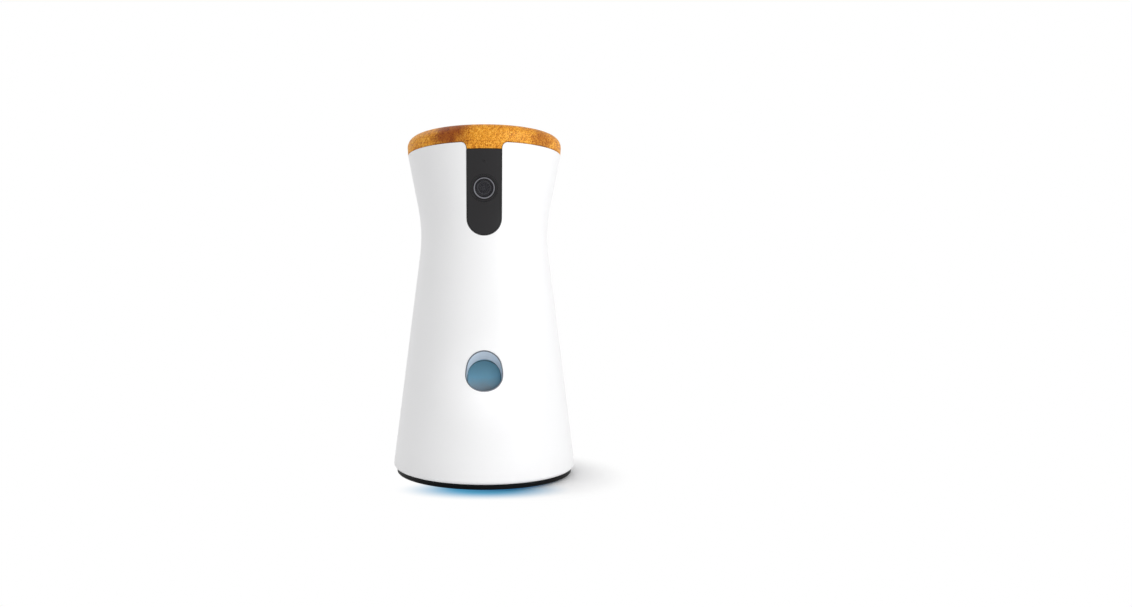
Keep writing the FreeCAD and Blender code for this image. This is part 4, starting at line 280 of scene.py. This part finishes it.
# Wood-like lid: fine fibres over longer strands, the colours from the dark to the light ones,
# broad shades, and darker patches with their centre, reach and strength
FIBRE_LEAN = math.radians(30)
FIBRE_CELLS, FIBRE_STRETCH, FIBRE_SHARE = 2000, (1, 8, 2), 0.8
STRAND_CELLS, STRAND_STRETCH, STRAND_SHARE = 480, (1, 16, 2), 0.2
FIBRE_DEPTH, FIBRE_ENDS, FIBRE_GLOSS = 0.00006, (0.35, 0.65), (0.42, 0.62)
FIBRE_COLOURS = [
    (0.40, (0.34, 0.09, 0.004)),
    (0.47, (0.69, 0.25, 0.012)),
    (0.54, (0.88, 0.39, 0.028)),
    (0.61, (1.0, 0.6, 0.11)),
]
SHADE_CELLS, SHADE_STRETCH, SHADE_STRENGTH = 38, (1, 2, 1), 0.7
SHADE_COLOURS = [(0.35, (0.84, 0.74, 0.64)), (0.6, (1.0, 1.0, 1.0))]
LID_PATCHES = (
    ((-0.021, -0.046, 0.219), 0.018, 0.95),
    ((0.036, -0.036, 0.216), 0.013, 0.55),
    ((0.012, 0.03, 0.222), 0.03, 0.6),
)
PATCH_TINT = (0.36, 0.18, 0.1)


def lid_wood(name):
    """Pressed bamboo, short fibres leaning to one side, with darker scorched patches."""
    shader = Shader(name, Coat_Weight=0.05, Coat_Roughness=0.35, Specular_IOR_Level=0.2)
    lean = (0, FIBRE_LEAN, 0)
    fibres = shader.noise(FIBRE_CELLS, FIBRE_STRETCH, lean, detail=4.0, roughness=0.7)
    strands = shader.noise(STRAND_CELLS, STRAND_STRETCH, lean, detail=3.0, roughness=0.6)
    mixed = shader.math("ADD", shader.math("MULTIPLY", fibres, FIBRE_SHARE),
                        shader.math("MULTIPLY", strands, STRAND_SHARE))
    grain = shader.ramp(mixed, FIBRE_COLOURS)
    broad = shader.noise(SHADE_CELLS, SHADE_STRETCH, detail=3.0)
    shade = shader.ramp(broad, SHADE_COLOURS)
    colour = shader.mix(SHADE_STRENGTH, grain, shade, "MULTIPLY")
    for centre, reach, strength in LID_PATCHES:
        amount = shader.math("MULTIPLY", shader.near(centre, reach), strength)
        scorched = shader.mix(1.0, colour, PATCH_TINT, "MULTIPLY")
        colour = shader.mix(amount, colour, scorched)
    gloss = shader.span(fibres, FIBRE_ENDS, FIBRE_GLOSS)
    return shader.paint(Base_Color=colour, Roughness=gloss).bump(mixed, FIBRE_DEPTH).material


# Outlet: heights between which the tunnel and the leaf turn from painted shade at the foot to
# unshaded, cells a metre and strength of spots in that shade, and how deep under the skin the
# tunnel's dark edge reaches
TUNNEL_FOOT, TUNNEL_UNSHADED, TUNNEL_SPOTS, TUNNEL_UNEVEN = 0.0535, 0.0615, 120, 0.1
LEAF_FOOT, LEAF_UNSHADED, LEAF_SPOTS, LEAF_UNEVEN = 0.054, 0.07, 90, 0.15
EDGE_DEPTH = 0.0005
EDGE_COLOUR = (0.12, 0.14, 0.17)


def outlet_grey(name):
    """Pale blue-grey satin plastic of the tunnel, darkened by painted shade along its foot."""
    shader = Shader(name)
    # Painted shade: the tunnel turns dark towards its foot
    clean = shader.clean(TUNNEL_FOOT, TUNNEL_UNSHADED, TUNNEL_SPOTS, TUNNEL_UNEVEN)
    tint = shader.ramp(clean, [(0.1, (0.05, 0.06, 0.075)), (0.9, (0.64, 0.74, 0.85))])
    tint = shader.mix(shader.under_skin(EDGE_DEPTH), tint, EDGE_COLOUR)
    return shader.satin(tint, gloss_ends=(0.3, 0.42))


def leaf_blue(name):
    """The leaf's blue-grey, greyer and darker towards its foot in painted shade."""
    shader = Shader(name)
    # Painted shade: the leaf turns greyer and darker towards its foot
    clean = shader.clean(LEAF_FOOT, LEAF_UNSHADED, LEAF_SPOTS, LEAF_UNEVEN)
    tint = shader.ramp(clean, [(0.1, (0.42, 0.5, 0.56)), (0.85, (0.37, 0.77, 1.0))])
    return shader.satin(tint, gloss_ends=(0.3, 0.44))


# Light guide: between these depths its glow falls from full at the front to a tenth
GUIDE_FRONT, GUIDE_DARK = -0.054, -0.02
GUIDE_BAND_CELLS = 90


def light_guide(name):
    """Clear moulding lit blue from inside, brightest at the front."""
    shader = Shader(name, Roughness=0.3, Emission_Strength=0.3)
    lit = shader.span(shader.axis("Y"), (GUIDE_FRONT, GUIDE_DARK), (1.0, 0.1), smooth=True)
    bands = shader.span(shader.noise(GUIDE_BAND_CELLS), NOISE_SPREAD, (0.85, 1.0))
    glow = shader.mix(shader.math("MULTIPLY", lit, bands), (0.0, 0.0, 0.0), (0.12, 0.5, 0.85))
    body = shader.ramp(bands, [(0.0, (0.2, 0.32, 0.42)), (1.0, (0.26, 0.4, 0.52))])
    return shader.paint(Base_Color=body, Emission_Color=glow).material


# Circuit board: cells a metre between the tracks, the tracks' width in cells, their height
TRACK_CELLS, TRACK_WIDTH, TRACK_HEIGHT = 330.0, 0.06, 0.00003


def circuit_board(name):
    """Green solder mask over copper tracks."""
    shader = Shader(name, Coat_Weight=0.4, Coat_Roughness=0.2)
    cells = shader.add("TexVoronoi", {"feature": "DISTANCE_TO_EDGE"}, Vector=shader.place(),
                       Scale=TRACK_CELLS).outputs["Distance"]
    tracks = shader.math("LESS_THAN", cells, TRACK_WIDTH)
    colour = shader.mix(tracks, (0.012, 0.12, 0.045), (0.05, 0.24, 0.09))
    gloss = shader.span(tracks, (0.0, 1.0), (0.45, 0.35))
    return shader.paint(Base_Color=colour, Roughness=gloss).bump(tracks, TRACK_HEIGHT).material


def glass(name, cells, first, second, gloss_ends, **surface):
    """Dark glass that goes from one tint and gloss to another in broad, faint clouds."""
    shader = Shader(name, **surface)
    clouds = shader.noise(cells, detail=1.0)
    tint = shader.shades(clouds, first, second)
    gloss = shader.span(clouds, NOISE_SPREAD, gloss_ends)
    return shader.paint(Base_Color=tint, Roughness=gloss).material


# Every material by the name of its slot in the record

MATERIALS = {
    # Satin white with a very fine spark texture
    "shell_white": partial(plastic, colour=(0.88, 0.88, 0.885), roughness=0.38, grain=2600,
                           depth=0.000005, mottle=0.01, Specular_IOR_Level=0.35),
    "lid_wood": lid_wood,
    # Dark grey satin that hides the night lamps
    "window_black": partial(plastic, colour=(0.0115, 0.0108, 0.012), roughness=0.32, grain=2200,
                            depth=0.000003, mottle=0.08, Specular_IOR_Level=0.3),
    "outlet_grey": outlet_grey,
    "leaf_blue": leaf_blue,
    "light_guide": light_guide,
    "circuit_board": circuit_board,
    # Smoked, with a faint violet tint, and clear enough for the inside to show
    "lens_glass": partial(glass, cells=60, first=(0.014, 0.014, 0.02), second=(0.02, 0.02, 0.027),
                          gloss_ends=(0.02, 0.05), Alpha=0.4, Specular_IOR_Level=0.5),
    "base_black": partial(plastic, colour=(0.003, 0.003, 0.0032), roughness=0.5, grain=1800,
                          mottle=0.3, Specular_IOR_Level=0.12),
    "inner_black": partial(plastic, colour=(0.05, 0.05, 0.055), roughness=0.55, grain=1200,
                           depth=0.00002, mottle=0.2),
    "inner_grey": partial(plastic, colour=(0.5, 0.51, 0.53), roughness=0.5, grain=1200,
                          depth=0.00002),
    "wheel_plastic": partial(plastic, colour=(0.74, 0.74, 0.72), roughness=0.4),
    "gear_plastic": partial(plastic, colour=(0.78, 0.77, 0.7), roughness=0.35),
    "lamp": partial(plastic, colour=(0.8, 0.8, 0.72), roughness=0.2, mottle=0.2),
    "button": partial(plastic, colour=(0.2, 0.2, 0.21), roughness=0.5),
    "chip": partial(plastic, colour=(0.02, 0.02, 0.021), roughness=0.5, grain=2400,
                    depth=0.00002, mottle=0.3),
    "connector": partial(plastic, colour=(0.8, 0.77, 0.66), roughness=0.45),
    "speaker": partial(plastic, colour=(0.03, 0.03, 0.032), roughness=0.7, grain=900,
                       depth=0.00004, mottle=0.3),
    "lens_barrel": partial(plastic, colour=(0.006, 0.006, 0.008), roughness=0.6, grain=900,
                           depth=0.000001, mottle=0.2, Specular_IOR_Level=0.1),
    "flat_cable": partial(plastic, colour=(0.6, 0.28, 0.04), roughness=0.3, grain=700,
                          mottle=0.15),
    "rubber": partial(rubber, colour=(0.03, 0.03, 0.03)),
    "cable": partial(rubber, colour=(0.025, 0.025, 0.025)),
    "silicone": partial(rubber, colour=(0.72, 0.72, 0.7)),
    "motor": partial(metal, colour=(0.62, 0.62, 0.64), roughness=0.35),
    "steel": partial(metal, colour=(0.55, 0.55, 0.56), roughness=0.35, stretch=EVEN),
    "bright_steel": partial(metal, colour=(0.7, 0.7, 0.72), roughness=0.18, stretch=EVEN),
    "brass": partial(metal, colour=(0.7, 0.52, 0.22)),
    "lens_ring": partial(metal, colour=(0.3, 0.3, 0.33), roughness=0.38, stretch=EVEN,
                         scale=1600, depth=0.000001),
}


# Dressing of the nodes

SMOOTH_ANGLE = math.radians(28)
WELD_DISTANCE = 1e-6


def dress_nodes():
    """Give each node its material and smooth its curved faces."""
    slots = {part["node"]: part["material_slot"] for part in frame["record"]["subparts"]}
    made = {slot: make(slot) for slot, make in MATERIALS.items()}
    for name, node in frame["nodes"].items():
        node.data.materials.clear()
        node.data.materials.append(made[slots[name]])
        smooth(node)


def smooth(piece):
    """Shade curved faces smooth and keep the edges sharp."""
    weld = piece.modifiers.new("weld", "WELD")
    weld.merge_threshold = WELD_DISTANCE
    split = piece.modifiers.new("sharp", "EDGE_SPLIT")
    split.split_angle = SMOOTH_ANGLE
    split.use_edge_sharp = False
    for polygon in piece.data.polygons:
        polygon.use_smooth = True


def linked_piece(name, shape):
    """An object in the scene made from a finished shape, which is freed."""
    mesh = bpy.data.meshes.new(name)
    shape.to_mesh(mesh)
    shape.free()
    piece = bpy.data.objects.new(name, mesh)
    scene.collection.objects.link(piece)
    return piece


# Inside of the lens, which shows through the front glass. Depths are measured inwards from the
# bright ring's middle. The dome ends in a small flat tip, so that no face there has lost a side.

TURN_STEPS = 96
DOME_STEPS = 16
CORE_RADIUS, CORE_RISE, CORE_DEPTH = 0.0021, 0.0014, 0.0052
CORE_TIP = CORE_RADIUS / 100
KEEPER_OUTER, KEEPER_INNER, KEEPER_HEIGHT, KEEPER_DEPTH = 0.0042, 0.0037, 0.0004, 0.0046


def lens_place():
    """The matrix of the lens axis: Z points outwards, and the origin lies in the ring's middle."""
    origin = middle_of("lens_ring")
    outwards = origin - middle_of("camera_board")
    return Matrix.Translation(origin) @ outwards.to_track_quat("Z", "Y").to_matrix().to_4x4()


def turned_piece(name, outline, matrix):
    """A closed piece turned about the lens axis from (radius, height) points, outside first."""
    shape = bmesh.new()
    rows = [[shape.verts.new((radius * math.cos(math.tau * step / TURN_STEPS),
                              radius * math.sin(math.tau * step / TURN_STEPS), height))
             for step in range(TURN_STEPS)] for radius, height in outline]
    for low, high in zip(rows, rows[1:] + rows[:1]):
        for step in range(TURN_STEPS):
            after = (step + 1) % TURN_STEPS
            shape.faces.new((low[step], low[after], high[after], high[step]))
    bmesh.ops.transform(shape, matrix=matrix, verts=shape.verts)
    bmesh.ops.recalc_face_normals(shape, faces=shape.faces)
    piece = linked_piece(name, shape)
    smooth(piece)
    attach(piece, "turret")
    return piece


def make_lens_inside():
    """The domed inner element and the thin ring that keeps it."""
    matrix = lens_place()
    quarter = [math.pi / 2 * step / DOME_STEPS for step in range(DOME_STEPS)]
    dome = [(CORE_RADIUS * math.cos(angle), CORE_RISE * math.sin(angle) - CORE_DEPTH)
            for angle in quarter]
    core = turned_piece("lens_core", [
        (CORE_TIP, -CORE_DEPTH),
        *dome,
        (CORE_TIP, CORE_RISE - CORE_DEPTH),
    ], matrix)
    core.data.materials.append(glass("dark_glass", cells=200, first=(0.02, 0.02, 0.028),
                                     second=(0.03, 0.028, 0.042), gloss_ends=(0.05, 0.09),
                                     IOR=1.45))
    top = KEEPER_HEIGHT - KEEPER_DEPTH
    keeper = turned_piece("lens_keeper", [
        (KEEPER_INNER, -KEEPER_DEPTH),
        (KEEPER_OUTER, -KEEPER_DEPTH),
        (KEEPER_OUTER, top),
        (KEEPER_INNER, top),
    ], matrix)
    keeper.data.materials.append(plastic("keeper", (0.2, 0.2, 0.23), roughness=0.4, grain=900,
                                         depth=0.000001))


# Raised line along the leaf's outline. Two faces look the same way where the product of their
# normals is above SAME_WAY.

RIM_INSET, RIM_WIDTH, RIM_HEIGHT = 0.0007, 0.0005, 0.0002
SAME_WAY = 0.999


def inset(shape, width):
    """Draw in the outline of a flat shape, and give the faces of the strip that this leaves."""
    made = bmesh.ops.inset_region(shape, faces=shape.faces[:], thickness=width,
                                  use_boundary=True, use_even_offset=True)
    return made["faces"]


def make_leaf_rim():
    """A thin raised band that follows the outline of the leaf's front face."""
    shape = bmesh.new()
    shape.from_mesh(frame["nodes"]["toss_paddle"].data)
    bmesh.ops.remove_doubles(shape, verts=shape.verts, dist=WELD_DISTANCE)
    ahead = [face for face in shape.faces if face.normal.y < 0]
    facing = max(ahead, key=lambda face: face.calc_area()).normal.copy()
    others = [face for face in shape.faces if face.normal.dot(facing) < SAME_WAY]
    bmesh.ops.delete(shape, geom=others, context="FACES")
    bmesh.ops.dissolve_faces(shape, faces=shape.faces[:])
    outside = inset(shape, RIM_INSET)
    bmesh.ops.delete(shape, geom=outside, context="FACES")
    band = inset(shape, RIM_WIDTH)
    inside = [face for face in shape.faces if face not in band]
    bmesh.ops.delete(shape, geom=inside, context="FACES")
    rim = linked_piece("leaf_rim", shape)
    solid = rim.modifiers.new("solid", "SOLIDIFY")
    solid.thickness = 2 * RIM_HEIGHT
    solid.offset = 0
    rim.data.materials.append(plastic("leaf_line", (0.2, 0.36, 0.46), roughness=0.4, grain=1600,
                                      depth=0.000004))
    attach(rim, "paddle")


# Stage and light

FLOOR_SIZE = 8.0
FLOOR_COLOUR = (0.93, 0.93, 0.935)
PAGE_WHITE = (1.0, 1.0, 1.0)
# The round shadow that shows on the page, full up to its start and gone at its end
SHADOW_MIDDLE = (0.024, -0.008)
SHADOW_START, SHADOW_END = 0.03, 0.075
# Painted blue light on the floor in front of the base, full up to its core's share of the ellipse
GLOW_MIDDLE = (0.0, -0.052)
GLOW_HALF_WIDTH, GLOW_HALF_DEPTH = 0.056, 0.0265
GLOW_CORE = 0.25
GLOW_COLOUR = (0.1, 0.38, 0.61)


def direct_rays(tree):
    """1 for what the camera sees, in a mirror or through glass too, and 0 for all other light."""
    seen = tree.nodes.new("ShaderNodeLightPath").outputs
    most = seen["Is Camera Ray"]
    for name in ("Is Glossy Ray", "Is Transmission Ray"):
        larger = tree.nodes.new("ShaderNodeMath")
        larger.operation = "MAXIMUM"
        tree.links.new(most, larger.inputs[0])
        tree.links.new(seen[name], larger.inputs[1])
        most = larger.outputs[0]
    return most


def make_floor():
    """A pale table that fades into the white page, with blue light painted on it in front of the
    light guide.
    """
    bpy.ops.mesh.primitive_plane_add(size=FLOOR_SIZE)
    floor = bpy.context.object
    floor.name = "floor"
    shader = Shader("floor", Roughness=0.9, Specular_IOR_Level=0.1)
    # Painted blue light: the floor's colour and its white page turn blue in front of the light
    # guide
    glow = shader.disc(GLOW_MIDDLE, (GLOW_HALF_WIDTH, GLOW_HALF_DEPTH), (GLOW_CORE, 1.0))
    shadow = shader.disc(SHADOW_MIDDLE, (SHADOW_END, SHADOW_END), (SHADOW_START / SHADOW_END, 1.0))
    direct = direct_rays(shader.tree)
    glow = shader.math("MULTIPLY", glow, direct)
    shader.paint(Base_Color=shader.mix(glow, FLOOR_COLOUR, GLOW_COLOUR))
    page = shader.add("Emission", Color=shader.mix(glow, PAGE_WHITE, GLOW_COLOUR), Strength=1.0)
    fade = shader.math("SUBTRACT", 1.0, shadow)
    both = shader.add("MixShader", Fac=shader.math("MULTIPLY", fade, direct))
    shader.feed(both.inputs[1], shader.surface.outputs[0])
    shader.feed(both.inputs[2], page.outputs[0])
    shader.feed(shader.output.inputs["Surface"], both.outputs[0])
    floor.data.materials.append(shader.material)


# The even surrounding: its light on the object, and the white that the camera sees
SKY_STRENGTH, PAGE_STRENGTH = 0.55, 1.0


def make_world():
    """An even pale surrounding, seen as white."""
    world = bpy.data.worlds.new("world")
    world.use_nodes = True
    scene.world = world
    tree = world.node_tree
    light = tree.nodes["Background"]
    page = tree.nodes.new("ShaderNodeBackground")
    for background, strength in ((light, SKY_STRENGTH), (page, PAGE_STRENGTH)):
        background.inputs["Color"].default_value = (*PAGE_WHITE, 1)
        background.inputs["Strength"].default_value = strength
    both = tree.nodes.new("ShaderNodeMixShader")
    tree.links.new(direct_rays(tree), both.inputs[0])
    tree.links.new(light.outputs[0], both.inputs[1])
    tree.links.new(page.outputs[0], both.inputs[2])
    tree.links.new(both.outputs[0], tree.nodes["World Output"].inputs["Surface"])


# What the lamps face: the middle of the body, and the foot below the outlet
BODY_MIDDLE, LOW_MIDDLE = (0, 0, 0.11), (0, 0, 0.06)
LEAF_CONE = math.radians(2.4)


def make_lamp(name, location, target, size, power, cone=None):
    """A square soft lamp that faces a target, or a spot lamp where a cone angle is given."""
    data = bpy.data.lights.new(name, "SPOT" if cone else "AREA")
    data.energy = power
    if cone:
        data.spot_size = cone
        data.spot_blend = 1.0
        data.shadow_soft_size = size
    else:
        data.size = size
    lamp = bpy.data.objects.new(name, data)
    lamp.location = location
    lamp.rotation_euler = (Vector(target) - Vector(location)).to_track_quat("-Z", "Y").to_euler()
    scene.collection.objects.link(lamp)
    return lamp


def make_lights():
    """A key from the front right, a low front lamp, a weak one behind and a spot on the leaf."""
    make_lamp("key", (0.8, -0.75, 0.5), BODY_MIDDLE, size=0.6, power=5.6)
    front = make_lamp("front", (0.12, -1.1, 0.04), LOW_MIDDLE, size=0.3, power=2.2)
    front.visible_glossy = False
    make_lamp("rim", (-0.6, 0.25, 0.9), BODY_MIDDLE, size=0.5, power=2.0)
    make_lamp("leaf", (0.03, -1.0, 0.13), middle_of("toss_paddle"), size=0.02, power=7.0,
              cone=LEAF_CONE)


make_camera()
dress_nodes()
make_lens_inside()
make_leaf_rim()
make_floor()
make_world()
make_lights()
scene.view_settings.view_transform = "Standard"
